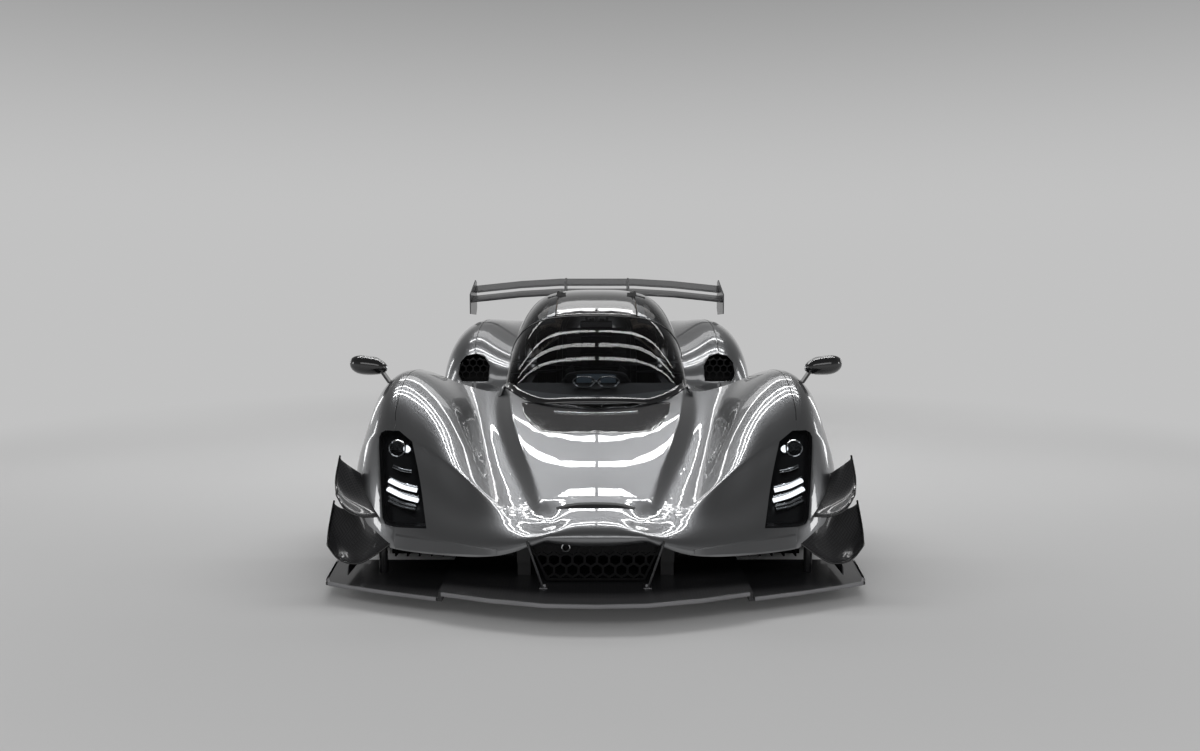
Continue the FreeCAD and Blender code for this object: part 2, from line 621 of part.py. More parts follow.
# Body panels
front_half = [sharpened(line, BROW, dim("brow_edge")) for line in net_from_lines(FRONT_LINES, FRONT_AXLE)]
front_half = sharpen_row(front_half, list(FRONT_LINES).index(CREASE), dim("hood_edge"))
front_rows = [name for name in FRONT_LINES for _ in range(3 if name == CREASE else 1)]
front_net = mirror_net(front_half)[:-1] + front_half
rear_half = net_from_lines(REAR_LINES, REAR_AXLE)
rear_net = mirror_net(rear_half)[:-1] + rear_half
side_net = [[Vector(x, start + y, z) for start, (x, y, z) in zip(SIDE_FROM, line)] for line in SIDE_LINES]


def row_of(lines, name):
    """Where across a mirrored net a feature line on the left side pulls."""
    half = list(lines)
    count = 2 * len(half) - 1
    return greville(len(half) - 1 + half.index(name), count)


slip = 0.00008
clam_edge = row_of(front_rows, "crest")
deck_edge = row_of(REAR_LINES, "crest")
across_x = Vector(1, 0, 0)

arch_front = Part.makeCylinder(dim("tyre_radius_front") + dim("arch_gap"), FAR,
                               Vector(dim("half_track_front") - 60, FRONT_AXLE, dim("tyre_radius_front")), across_x)
arch_rear = Part.makeCylinder(dim("tyre_radius_rear") + dim("arch_gap"), FAR,
                              Vector(dim("half_track_rear") - 60, REAR_AXLE, dim("tyre_radius_rear")), across_x)
well_front = Part.makeCylinder(dim("tyre_radius_front") + dim("liner_gap_front") + dim("liner_wall") + 0.3, FAR,
                               Vector(555, FRONT_AXLE, dim("tyre_radius_front")), across_x)
well_rear = Part.makeCylinder(dim("tyre_radius_rear") + dim("liner_gap_rear") + dim("liner_wall") + 0.3, FAR,
                              Vector(dim("half_track_rear") - dim("tyre_width_rear") / 2 - 32, REAR_AXLE,
                                     dim("tyre_radius_rear")), across_x)
# Shells round the outside of the panels, to trim what stands on them or lies under them.
over_front = skin_solid(front_net, 34.4, start=-0.4)
over_rear = skin_solid(rear_net, 34.4, start=-0.4)
under_front = skin_solid(front_net, SKIN + 40.3, start=-40)
under_rear = skin_solid(rear_net, SKIN + 40.3, start=-40)

# Headlamp outline in the front view, (x, z) on the left side.
LAMP_OUTLINE = [(893, 572), (887, 590), (868, 600), (812, 598), (756, 556), (655, 262), (792, 262), (824, 268),
                (838, 288), (889, 540)]


def grown(outline, grow):
    """An outline larger by grow all round, about its middle."""
    middle_a = (min(a for a, _ in outline) + max(a for a, _ in outline)) / 2
    middle_b = (min(b for _, b in outline) + max(b for _, b in outline)) / 2
    wide = max(a for a, _ in outline) - middle_a
    tall = max(b for _, b in outline) - middle_b
    return [(middle_a + (a - middle_a) * (1 + grow / wide), middle_b + (b - middle_b) * (1 + grow / tall))
            for a, b in outline]


def lamp_prism(grow):
    return prism(grown(LAMP_OUTLINE, grow), "Y", FRONT_AXLE - 900, 720)


lamp_hole = lamp_prism(0)
clam = skin_solid(front_net, SKIN, across=(1 - clam_edge + slip, clam_edge - slip))
# Black panel at the foot of the windscreen, right half of its outline in plan (x, y from the front axle).
COWL = [(0, -186), (170, -182), (246, -160), (290, -100), (330, 0), (345, 110)]
cowl_outline = [(x, FRONT_AXLE + y) for x, y in COWL] + [(-x, FRONT_AXLE + y) for x, y in reversed(COWL[1:])]


def cowl_prism(grow):
    return prism([(x + math.copysign(grow, x) if x else 0, y - grow if y < FRONT_AXLE + 100 else y + grow)
                  for x, y in cowl_outline], "Z", 400, 500)


cowl = clam.common(cowl_prism(0))
feature("cowl_panel", max(cowl.Solids, key=lambda solid: solid.Volume))
feature("front_clam", clam.cut(both_sides(lamp_hole)).cut(cowl_prism(SEAM)))
fender = skin_solid(front_net, SKIN, across=(clam_edge + slip, 1.0)).cut(lamp_hole).cut(arch_front)
feature("fender_left", fender)
feature("fender_right", flip(fender))

lens = skin_solid(front_net, 5).common(lamp_prism(-0.6))
feature("headlamp_lenses", both_sides(lens))
LAMP_DEPTH = 42
bucket = skin_solid(front_net, LAMP_DEPTH, start=5.3).common(lamp_prism(-0.6))
bucket = bucket.cut(skin_solid(front_net, LAMP_DEPTH - 4, start=5.2).common(lamp_prism(-5)))
bucket = bucket.cut(well_front)
feature("headlamps", both_sides(bucket))

# Rear body: deck between the haunches, and the haunches with their intake mouths.
INTAKE = [(705, 540), (880, 540), (905, 580), (895, 660), (860, 700), (790, 715), (735, 695), (700, 640)]
INTAKE_FRONT = REAR_AXLE - 700
mouth = prism(INTAKE, "Y", INTAKE_FRONT - 60, 300)
BAY = [(395, -760), (395, -440), (310, -140), (190, 190)]
bay_window = prism([(x, REAR_AXLE + y) for x, y in BAY] + [(-x, REAR_AXLE + y) for x, y in reversed(BAY)],
                   "Z", 380, 600)
bay_window = bay_window.fuse(Part.makeBox(920, 440, 230, Vector(-460, REAR_AXLE - 760, 380)))
deck = skin_solid(rear_net, SKIN, across=(1 - deck_edge + slip, deck_edge - slip))
haunch = skin_solid(rear_net, SKIN, across=(deck_edge + slip, 1.0)).cut(mouth).cut(arch_rear)
feature("haunch_left", haunch)
feature("haunch_right", flip(haunch))

duct = prism(grown(INTAKE, 6), "Y", INTAKE_FRONT, 200).cut(prism(grown(INTAKE, 3), "Y", INTAKE_FRONT - 1, 202))
duct_trim = skin_solid(rear_net, SKIN + 40.6, start=-40)
duct = duct.cut(duct_trim)
duct = max(duct.Solids, key=lambda solid: solid.Volume)


def honeycomb(outline, axis, start, wall):
    """A plate with a border and rows of six-sided holes."""
    plate = prism(outline, axis, start, wall)
    inner = prism(grown(outline, -dim("mesh_bar")), axis, start - 1, wall + 2)
    pitch, bar = dim("mesh_cell"), dim("mesh_bar")
    reach = (pitch - bar) / math.sqrt(3)
    low_a, high_a = min(a for a, _ in outline), max(a for a, _ in outline)
    low_b, high_b = min(b for _, b in outline), max(b for _, b in outline)
    holes = []
    rise = pitch * math.sqrt(3) / 2
    for row in range(int((high_b - low_b) / rise) + 2):
        for column in range(int((high_a - low_a) / pitch) + 2):
            a = low_a + column * pitch + (pitch / 2 if row % 2 else 0)
            b = low_b + row * rise
            corners = [(a + reach * math.sin(k * math.pi / 3), b + reach * math.cos(k * math.pi / 3)) for k in range(6)]
            holes.append(prism(corners, axis, start - 1, wall + 2))
    return plate.cut(Part.makeCompound(holes).common(inner))


mesh = honeycomb(grown(INTAKE, 2.6), "Y", INTAKE_FRONT + 90, 8).cut(duct_trim)
mesh = max(mesh.Solids, key=lambda solid: solid.Volume)
feature("intake_ducts", both_sides(Part.makeCompound([duct, mesh])))

# Sides: the lower panel on each side, under the doors.
door_seam = across_at(side_net, 606)
DOOR_FRONT = MIDDLE_Y - dim("door_front")
DOOR_REAR = MIDDLE_Y + dim("door_rear")
COVER_FRONT = MIDDLE_Y + dim("cover_front")
COVER_REAR = REAR_AXLE + dim("cover_rear")
side_panel = skin_solid(side_net, SKIN)
door_band = skin_solid(side_net, SKIN + 40, start=-20, across=(0.0, door_seam))
door_span = Part.makeBox(FAR, DOOR_REAR - DOOR_FRONT, FAR, Vector(0, DOOR_FRONT, 0))
side_panel = side_panel.cut(door_band.common(door_span)).cut(well_front).cut(well_rear)
side_panel = side_panel.cut(skin_solid(front_net, SKIN + 8, start=-0.4))
side_panel = side_panel.cut(skin_solid(rear_net, 90, start=-0.4))
side_panel = max(side_panel.Solids, key=lambda solid: solid.Volume)
feature("side_panel_left", side_panel)
feature("side_panel_right", flip(side_panel))

# Canopy: windscreen, roof, door glass and engine cover, all of one surface.
canopy_half = [[Vector(share * half, start + y, base + rise * (top - base))
                for start, y, half, top, base in CANOPY_STATIONS] for share, rise in CANOPY_SECTION]
canopy_net = mirror_net(canopy_half)[:-1] + canopy_half


def span(y0, y1):
    return Part.makeBox(2 * FAR, y1 - y0, FAR, Vector(-FAR, y0, 0))


glass_skin = skin_solid(canopy_net, dim("glass"))
windscreen = glass_skin.common(span(NOSE_Y, DOOR_FRONT - SEAM)).cut(over_front)
windscreen = max(windscreen.Solids, key=lambda solid: solid.Volume)
feature("windscreen", windscreen)

ROOF = dim("roof_half_width")
roof_skin = skin_solid(canopy_net, SKIN + 4)
door_room = Part.makeBox(FAR, DOOR_REAR - DOOR_FRONT, FAR, Vector(ROOF - SHUT, DOOR_FRONT, 0))
HINGE_X = ROOF - SHUT / 2
hinge_surface = spline_surface(canopy_net)
HINGE_Z = max(hinge_surface.value(u / 400, v / 60).z for u in range(200, 400) for v in range(60)
              if abs(hinge_surface.value(u / 400, v / 60).x - ROOF) < 6
              and DOOR_FRONT < hinge_surface.value(u / 400, v / 60).y < DOOR_REAR) + 1
PIN_FRONT, PIN_REAR = DOOR_REAR - 250, DOOR_REAR - 20
hinge_room = Part.makeCylinder(dim("hinge_ring") + 7, PIN_REAR - PIN_FRONT + 30,
                               Vector(HINGE_X, PIN_FRONT - 15, HINGE_Z), Vector(0, 1, 0))
pin = Part.makeCylinder(dim("hinge_pin"), PIN_REAR - PIN_FRONT, Vector(HINGE_X, PIN_FRONT, HINGE_Z), Vector(0, 1, 0))
brackets = []
for start in (PIN_FRONT, (PIN_FRONT + PIN_REAR) / 2 - 6, PIN_REAR - 12):
    foot = Part.makeBox(40, 12, 20, Vector(HINGE_X - 40, start, HINGE_Z - 20))
    brackets.append(foot)
roof = roof_skin.common(span(DOOR_FRONT, COVER_FRONT - dim("lid_gap"))).cut(both_sides(door_room)).cut(both_sides(hinge_room))
posts = roof.multiFuse([both_sides(pin)] + [both_sides(foot) for foot in brackets])
roof = posts.removeSplitter()
feature("roof", roof)

door_length = DOOR_REAR - DOOR_FRONT - 2 * SHUT
door_box = Part.makeBox(FAR, door_length, FAR, Vector(ROOF, DOOR_FRONT + SHUT, 0))
frame_in = dim("frame_face")
door_hole = Part.makeBox(FAR, door_length - 2 * frame_in, FAR,
                         Vector(ROOF + frame_in, DOOR_FRONT + SHUT + frame_in, 745))
door_glass = glass_skin.common(door_box).cut(hinge_room)
feature("door_glass_left", door_glass)
feature("door_glass_right", flip(door_glass))
door_ring = skin_solid(canopy_net, dim("frame_wall"), start=dim("glass") + 0.3).common(door_box).cut(door_hole)
door_ring = door_ring.cut(hinge_room)
door_skin = skin_solid(side_net, SKIN + 6, across=(0.0, door_seam - 0.01)).common(door_box)
strap_parts = []
for start in (PIN_FRONT + 24, PIN_REAR - 78):
    ring = Part.makeCylinder(dim("hinge_ring"), 54, Vector(HINGE_X, start, HINGE_Z), Vector(0, 1, 0))
    arm = prism([(HINGE_X - 4, HINGE_Z - 9), (HINGE_X + 8, HINGE_Z - 6), (HINGE_X + 16, HINGE_Z - 14),
                 (HINGE_X + 62, HINGE_Z - 24), (HINGE_X + 62, HINGE_Z - 36), (HINGE_X + 2, HINGE_Z - 22)],
                "Y", start, 54)
    bore = Part.makeCylinder(dim("hinge_pin") + 0.3, 60, Vector(HINGE_X, start - 3, HINGE_Z), Vector(0, 1, 0))
    strap_parts.append(ring.fuse(arm).cut(bore))
door_rail = Part.makeBox(20, door_length, 90, Vector(424, DOOR_FRONT + SHUT, 640))
door = door_ring.multiFuse([door_skin, door_rail] + strap_parts).cut(door_glass)
door = max(door.removeSplitter().Solids, key=lambda solid: solid.Volume)
feature("door_left", door)
feature("door_right", flip(door))

cover = skin_solid(canopy_net, SKIN).common(span(COVER_FRONT, COVER_REAR))
cover = cover.cut(slab_below(rear_net, -SHUT, 400))
cover = cover.cut(both_sides(skin_solid(side_net, 60, start=-SHUT - 2)))
cover = max(cover.Solids, key=lambda solid: solid.Volume)
LID_Y = COVER_REAR - 10
LID_Z = height_at(rear_net, 0, LID_Y) + 22
cover_under = height_at(canopy_net, 0, LID_Y) - SKIN
lid_pin = Part.makeCylinder(dim("hinge_pin"), 160, Vector(-80, LID_Y, LID_Z), across_x)
tabs = []
for x in (-52, 22):
    tab = Part.makeCylinder(dim("hinge_ring"), 30, Vector(x, LID_Y, LID_Z), across_x)
    tab = tab.fuse(Part.makeBox(30, 16, max(cover_under + 4 - LID_Z, 8), Vector(x, LID_Y - 8, LID_Z)))
    tabs.append(tab.cut(Part.makeCylinder(dim("hinge_pin") + 0.3, 60, Vector(x - 10, LID_Y, LID_Z), across_x)))
cover = cover.multiFuse(tabs).removeSplitter()
feature("engine_cover", cover)
pin_blocks = []
for x in (-80, -8, 64):
    pin_blocks.append(Part.makeBox(16, 18, 40, Vector(x, LID_Y - 9, LID_Z - 34)))
deck = deck.cut(both_sides(mouth)).cut(bay_window).multiFuse([lid_pin] + pin_blocks).removeSplitter()
feature("rear_deck", max(deck.Solids, key=lambda solid: solid.Volume))

# Wheel wells
def liner(radius, wall, axle, height, inner_x, outer_x, trims):
    """A half barrel over the wheel with a ring on its inner side, open at the bottom."""
    centre = Vector(inner_x, axle, height)
    barrel = Part.makeCylinder(radius + wall, outer_x - inner_x, centre, across_x)
    barrel = barrel.cut(Part.makeCylinder(radius, outer_x - inner_x - wall, centre + Vector(wall, 0, 0), across_x))
    barrel = barrel.cut(Part.makeCylinder(radius, outer_x, centre + Vector(wall, 0, 0), across_x))
    barrel = barrel.cut(Part.makeCylinder(radius - 150, outer_x, centre - Vector(1, 0, 0), across_x))
    barrel = barrel.cut(Part.makeBox(FAR, FAR, FAR, Vector(0, axle - FAR / 2, 128 - FAR)))
    for trim in trims:
        barrel = barrel.cut(trim)
    return max(barrel.Solids, key=lambda solid: solid.Volume)


front_liner = liner(dim("tyre_radius_front") + dim("liner_gap_front"), dim("liner_wall"), FRONT_AXLE,
                    dim("tyre_radius_front"), 556, 990, [under_front])
feature("arch_liners_front", both_sides(front_liner))
rear_liner = liner(dim("tyre_radius_rear") + dim("liner_gap_rear"), dim("liner_wall"), REAR_AXLE,
                   dim("tyre_radius_rear"), dim("half_track_rear") - dim("tyre_width_rear") / 2 - 30, 1000, [under_rear])
feature("arch_liners_rear", both_sides(rear_liner))

# Nose structure, from the tub to the splitter and up to the clam.
TUB_FRONT_Y = FRONT_AXLE + dim("tub_front")
nose_block = Part.makeBox(640, 330, 330, Vector(-320, TUB_FRONT_Y - 330, 130))
nose_box = nose_block.cut(Part.makeBox(560, 290, 400, Vector(-280, TUB_FRONT_Y - 290, 160)))
rails = [Part.makeBox(50, 560, 90, Vector(x, TUB_FRONT_Y - 890, 150)) for x in (-300, 250)]
rib_plate = Part.makeBox(600, 14, 520, Vector(-300, TUB_FRONT_Y - 200, 150))
rib_front = Part.makeBox(600, 14, 400, Vector(-300, TUB_FRONT_Y - 800, 150))
feet = [Part.makeBox(50, 40, 60, Vector(x, TUB_FRONT_Y - 860, 90.3)) for x in (-300, 250)]
nose_frame = nose_box.multiFuse(rails + feet + [rib_plate, rib_front])
above_front = slab_above(front_net, SKIN + 0.3, 500)
nose_frame = nose_frame.cut(above_front).removeSplitter()
feature("nose_frame", max(nose_frame.Solids, key=lambda solid: solid.Volume))

# Suspension: two arms to each upright, and shafts at the back.
def rod(a, b, radius):
    return Part.makeCylinder(radius, (b - a).Length, a, b - a)


def arms(axle, height, pin_x, inner_x, leans, drops):
    """Upper and lower wishbones, from the pins' eyes in to the structure."""
    parts = []
    pin_gap = dim("pin_radius") + 0.3
    for way, drop in zip((1, -1), drops):
        eye = Vector(pin_x, axle, height + way * (dim("ball_height") + 4))
        arm = Part.makeCylinder(24, 26, eye - Vector(0, 0, 13), Vector(0, 0, 1))
        for lean in leans:
            inner = Vector(inner_x, axle + lean, eye.z - drop)
            arm = arm.fuse(rod(eye, inner, dim("arm_radius")))
        arm = arm.cut(Part.makeCylinder(pin_gap, 120, eye - Vector(0, 0, 60), Vector(0, 0, 1)))
        parts.append(arm.removeSplitter())
    return parts


pin_x = dim("half_track_front") - dim("kingpin_inset")
feature("suspension_front", both_sides(Part.makeCompound(
    arms(FRONT_AXLE, dim("tyre_radius_front"), pin_x, 300, (-170, 60), (110, 0))).cut(nose_block)))
rear_pin = dim("half_track_rear") - dim("kingpin_inset") - 40
half_engine = dim("engine_width") / 2
engine_room = Part.makeBox(2 * half_engine, FAR, FAR, Vector(-half_engine, 0, 0))
shaft = rod(Vector(half_engine, REAR_AXLE, dim("tyre_radius_rear")),
            Vector(rear_pin - 30, REAR_AXLE, dim("tyre_radius_rear")), 18)
feature("suspension_rear", both_sides(Part.makeCompound(
    arms(REAR_AXLE, dim("tyre_radius_rear"), rear_pin, half_engine - 20, (-120, 120), (0, 0)) + [shaft]
).cut(engine_room)))

# Nose fittings
GRILLE = [(-248, 240), (248, 240), (185, 96), (-185, 96)]
grille = honeycomb(GRILLE, "Y", FRONT_AXLE - 852, 10).cut(above_front)
feature("front_grille", max(grille.Solids, key=lambda solid: solid.Volume))
stay_top, stay_foot = Vector(257, FRONT_AXLE - 868, 252), Vector(190, FRONT_AXLE - 931, 90)
stay = rod(stay_foot - Vector(0, 0, 10), stay_top, 5).cut(over_front)
stay = stay.cut(Part.makeBox(2 * FAR, 2 * FAR, FAR, Vector(-FAR, -FAR, 90.3 - FAR)))
post = Part.makeCylinder(17, 140, Vector(840, FRONT_AXLE - 640, 68.3), Vector(0, 0, 1)).cut(above_front)
post = post.cut(skin_solid(front_net, SKIN + 0.4, start=-0.4))
post = min(post.Solids, key=lambda solid: solid.BoundBox.ZMin)
stay = min(stay.Solids, key=lambda solid: solid.BoundBox.ZMin)
feature("splitter_stays", both_sides(Part.makeCompound([stay, post])))


def plate(points, wall):
    """A thin plate through four corners in order."""
    face = Part.Face(Part.makePolygon(points + points[:1])) if coplanar(points) else Part.makeRuledSurface(
        Part.makeLine(points[0], points[1]), Part.makeLine(points[3], points[2]))
    normal = (points[1] - points[0]).cross(points[2] - points[0])
    normal.normalize()
    return face.extrude(normal * wall)


def coplanar(points):
    normal = (points[1] - points[0]).cross(points[2] - points[0])
    return abs(normal.dot(points[3] - points[0])) < 1e-6


dive = []
for corners, tip in (
    ([(780, -650, 285), (1022, -715, 372), (1038, -510, 486), (840, -480, 470)], 42),
    ([(740, -770, 205), (1020, -740, 178), (1046, -545, 318), (880, -560, 290)], 40),
):
    points = [Vector(x, FRONT_AXLE + y, z) for x, y, z in corners]
    blade = plate(points, 5)
    foot = [points[1] - Vector(4, 0, 8), points[2] - Vector(4, 0, 8)]
    fence = plate(foot + [points[2] + Vector(2, 0, tip), points[1] + Vector(2, 0, tip * 0.5)], 4)
    whole = blade.fuse(fence).cut(over_front)
    dive.append(max(whole.Solids, key=lambda solid: solid.BoundBox.XMax))
feature("dive_planes", both_sides(Part.makeCompound(dive)))

# Mirror shell by sections outwards. Columns: x, middle height, half height, half length.
MIRROR = [(962, 812, 14, 16), (985, 816, 32, 34), (1040, 822, 44, 46), (1100, 828, 40, 42), (1124, 832, 22, 24)]
MIRROR_Y = FRONT_AXLE + 85
mirror_rings = []
for x, middle, tall, deep in MIRROR:
    ring = Part.Ellipse(Vector(0, 0, 0), deep, tall * 0.98) if deep > tall else Part.Ellipse(Vector(0, 0, 0), tall, deep)
    edge = ring.toShape()
    edge.rotate(Vector(0, 0, 0), Vector(0, 0, 1), 0 if deep > tall else 90)
    edge.rotate(Vector(0, 0, 0), Vector(1, 0, 0), 90)
    edge.rotate(Vector(0, 0, 0), Vector(0, 0, 1), 90)
    edge.translate(Vector(x, MIRROR_Y, middle))
    mirror_rings.append(Part.Wire([edge]))
mirror_head = Part.makeLoft(mirror_rings, True, False)
mirror_stalk = plate([Vector(905, FRONT_AXLE + 60, 690), Vector(905, FRONT_AXLE + 110, 690),
                      Vector(1000, FRONT_AXLE + 110, 830), Vector(1000, FRONT_AXLE + 60, 830)], 10)
mirror_body = mirror_head.fuse(mirror_stalk).cut(over_front)
feature("mirrors", both_sides(max(mirror_body.Solids, key=lambda solid: solid.BoundBox.ZMax)))

# Tail
TAIL_PANEL_Y = REAR_AXLE + 770
tail_half = [(636, 292), (650, 350), (930, 366), (930, 650), (880, 850)]
tail_outline = tail_half + [(-x, z) for x, z in reversed(tail_half)]
above_rear = slab_above(rear_net, SKIN + 0.3, 500)
exhausts = [Part.makeCylinder(dim("pipe_radius") + 1, FAR, Vector(x, 0, 600), Vector(0, 1, 0)) for x in (-85, 85)]
tail_panel = prism(tail_outline, "Y", TAIL_PANEL_Y, 10).cut(above_rear).cut(Part.makeCompound(exhausts))
feature("tail_panel", max(tail_panel.Solids, key=lambda solid: solid.Volume))
lamp_bar = prism([(330, 752), (860, 742), (850, 772), (330, 786)], "Y", TAIL_PANEL_Y + 10.3, 14)
feature("tail_lamps", both_sides(lamp_bar))
pipes = []
for x in (-85, 85):
    at = Vector(x, TAIL_PANEL_Y - 150, 600)
    pipe = Part.makeCylinder(dim("pipe_radius"), 230, at, Vector(0, 1, 0))
    pipes.append(pipe.cut(Part.makeCylinder(dim("pipe_radius") - dim("pipe_wall"), 232, at - Vector(0, 1, 0),
                                            Vector(0, 1, 0))))
feature("exhaust_pipes", Part.makeCompound(pipes))

FLOOR_END = REAR_AXLE + 330
diffuser_side = [(FLOOR_END + 0.3, 88), (TAIL_Y - 40, 330), (TAIL_Y - 40, 342), (FLOOR_END + 0.3, 100)]
diffuser = prism(diffuser_side, "X", -640, 1280)
strakes = []
for x in (-640, -320, -107, 107, 320, 632):
    fin = prism([(FLOOR_END + 20, 90), (TAIL_Y - 60, 140), (TAIL_Y - 45, 335), (FLOOR_END + 20, 98)], "X", x, 8)
    strakes.append(fin)
hangers = []
for x in (-560, 552):
    hangers.append(prism([(TAIL_PANEL_Y - 60, 300), (TAIL_PANEL_Y - 0.3, 320), (TAIL_PANEL_Y - 0.3, 560),
                          (TAIL_PANEL_Y - 60, 560)], "X", x, 8))
feature("diffuser", diffuser.multiFuse(strakes + hangers).removeSplitter())

# Wing
FOIL = [(0.0, 0.0), (0.04, 0.03), (0.2, 0.035), (0.55, 0.02), (1.0, 0.0), (0.98, -0.012), (0.55, -0.055),
        (0.2, -0.065), (0.04, -0.035)]


def foil(x, y, z, chord, angle):
    """A wing section at this place, nose first, tail up by the angle in degrees."""
    c, s = math.cos(math.radians(angle)), math.sin(math.radians(angle))
    points = [Vector(x, y + chord * (a * c - b * s), z + chord * (a * s + b * c)) for a, b in FOIL]
    return Part.makePolygon(points + points[:1])


def droop(x):
    return dim("wing_droop") * (abs(x) / dim("wing_half_span")) ** 2


def wing(y, height, chord, angle):
    half = dim("wing_half_span")
    stations = [-half, -0.62 * half, -0.3 * half, 0.3 * half, 0.62 * half, half]
    return Part.makeLoft([foil(x, y, height - droop(x), chord, angle) for x in stations], True, True)


WING_Y = TAIL_Y - 395
main_plane = wing(WING_Y, dim("wing_height"), dim("wing_chord"), 9)
feature("wing_main", main_plane)
flap = wing(WING_Y + dim("wing_chord") - 6, dim("wing_height") + 62, dim("flap_chord"), 28)
feature("wing_flap", flap)
half_span = dim("wing_half_span")
WING_TIP = dim("wing_height") - dim("wing_droop")
end_plate = prism([(WING_Y - 20, WING_TIP - 93), (TAIL_Y - 60, WING_TIP - 113), (TAIL_Y, WING_TIP - 63),
                   (TAIL_Y, WING_TIP + 147), (TAIL_Y - 60, WING_TIP + 162), (WING_Y - 20, WING_TIP + 57)],
                  "X", half_span + 0.3, dim("end_plate_wall"))
feature("wing_end_plates", both_sides(end_plate))
neck_x = dim("pylon_spacing") / 2
WING_TOP = dim("wing_height")
# Swan neck from the deck, up ahead of the wing and over it. Columns: y from the wing's nose, z, from the deck or wing.
NECK_FOOT = [(-140, 820), (-300, 820)]
NECK_TOP = [(-215, -40), (-150, 60), (-90, 96), (0, 118), (60, 120), (190, 92), (190, 46), (60, 66), (0, 62),
            (-60, 36), (-118, -30), (-136, -90)]
neck = prism([(WING_Y + y, z) for y, z in NECK_FOOT] + [(WING_Y + y, WING_TOP + z) for y, z in NECK_TOP],
             "X", neck_x, dim("pylon_wall"))
hang = prism([(WING_Y + 40, WING_TOP - 5), (WING_Y + 190, WING_TOP + 15), (WING_Y + 190, WING_TOP + 75),
              (WING_Y + 40, WING_TOP + 95)], "X", neck_x, dim("pylon_wall"))
neck = neck.fuse(hang).cut(main_plane).cut(flap).cut(over_rear)
neck = max(neck.Solids, key=lambda solid: solid.Volume)
feature("wing_pylons", both_sides(neck))

# Cabin
TUB_FLOOR = dim("floor_height") + dim("floor_wall") + dim("tub_floor")


def seat(front):
    """A shell seat on the tub floor: cushion, reclined back and head rest."""
    side = [(front, TUB_FLOOR), (front + 560, TUB_FLOOR), (front + 820, 780), (front + 790, 930),
            (front + 740, 930), (front + 720, 780), (front + 480, TUB_FLOOR + 130), (front + 60, TUB_FLOOR + 190),
            (front, TUB_FLOOR + 150)]
    return prism(side, "X", -215, 430)


feature("seat_front", seat(MIDDLE_Y - 480))
bench = prism([(REAR_AXLE - 940, TUB_FLOOR), (REAR_AXLE - 560, TUB_FLOOR), (REAR_AXLE - 500, 700),
               (REAR_AXLE - 560, 700), (REAR_AXLE - 650, TUB_FLOOR + 150), (REAR_AXLE - 940, TUB_FLOOR + 170)],
              "X", -215, 430)
feature("seat_rear", bench)
dash = prism([(FRONT_AXLE + 300, 520), (FRONT_AXLE + 560, 500), (FRONT_AXLE + 590, 640), (FRONT_AXLE + 480, 700),
              (FRONT_AXLE + 300, 640)], "X", -394.7, 789.4)
feature("dashboard", dash)
column = rod(Vector(0, FRONT_AXLE + 560, 640), Vector(0, FRONT_AXLE + 700, 700), 18)
yoke = prism([(-150, 660), (-110, 650), (110, 650), (150, 660), (160, 740), (125, 770), (115, 740), (60, 715),
              (-60, 715), (-115, 740), (-125, 770), (-160, 740)], "Y", FRONT_AXLE + 680, 26)
feature("steering_wheel", yoke.fuse(column).cut(dash).removeSplitter())

os.makedirs("parts", exist_ok=True)
doc.recompute()
for label, obj in NODES.items():
    broken = "Invalid" in obj.State or "Error" in obj.State
    if broken or obj.Shape.isNull() or not obj.Shape.isValid():
        raise RuntimeError(f"{label} did not build: {obj.State}")
    obj.Shape.exportStep(f"parts/{label}.step")
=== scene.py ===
import json
import math
from contextlib import contextmanager

import bmesh
import bpy
from mathutils import Matrix, Vector
from mathutils.bvhtree import BVHTree


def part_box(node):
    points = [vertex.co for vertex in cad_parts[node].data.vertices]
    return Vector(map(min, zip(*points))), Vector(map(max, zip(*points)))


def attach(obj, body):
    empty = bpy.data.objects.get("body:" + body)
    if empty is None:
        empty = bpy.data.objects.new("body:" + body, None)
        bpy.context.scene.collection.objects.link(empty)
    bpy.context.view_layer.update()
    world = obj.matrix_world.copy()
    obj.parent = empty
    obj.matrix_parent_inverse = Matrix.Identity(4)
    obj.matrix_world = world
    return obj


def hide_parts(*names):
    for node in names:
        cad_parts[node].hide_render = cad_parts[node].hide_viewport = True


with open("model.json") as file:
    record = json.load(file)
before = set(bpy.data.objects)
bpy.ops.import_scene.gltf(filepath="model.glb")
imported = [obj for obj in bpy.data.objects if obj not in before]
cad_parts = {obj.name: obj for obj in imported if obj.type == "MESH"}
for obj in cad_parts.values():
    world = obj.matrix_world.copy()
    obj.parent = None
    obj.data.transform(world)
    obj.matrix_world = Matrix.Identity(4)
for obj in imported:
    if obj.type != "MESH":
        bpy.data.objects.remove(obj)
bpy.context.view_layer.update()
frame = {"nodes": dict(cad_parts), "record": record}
nodes = frame["nodes"]


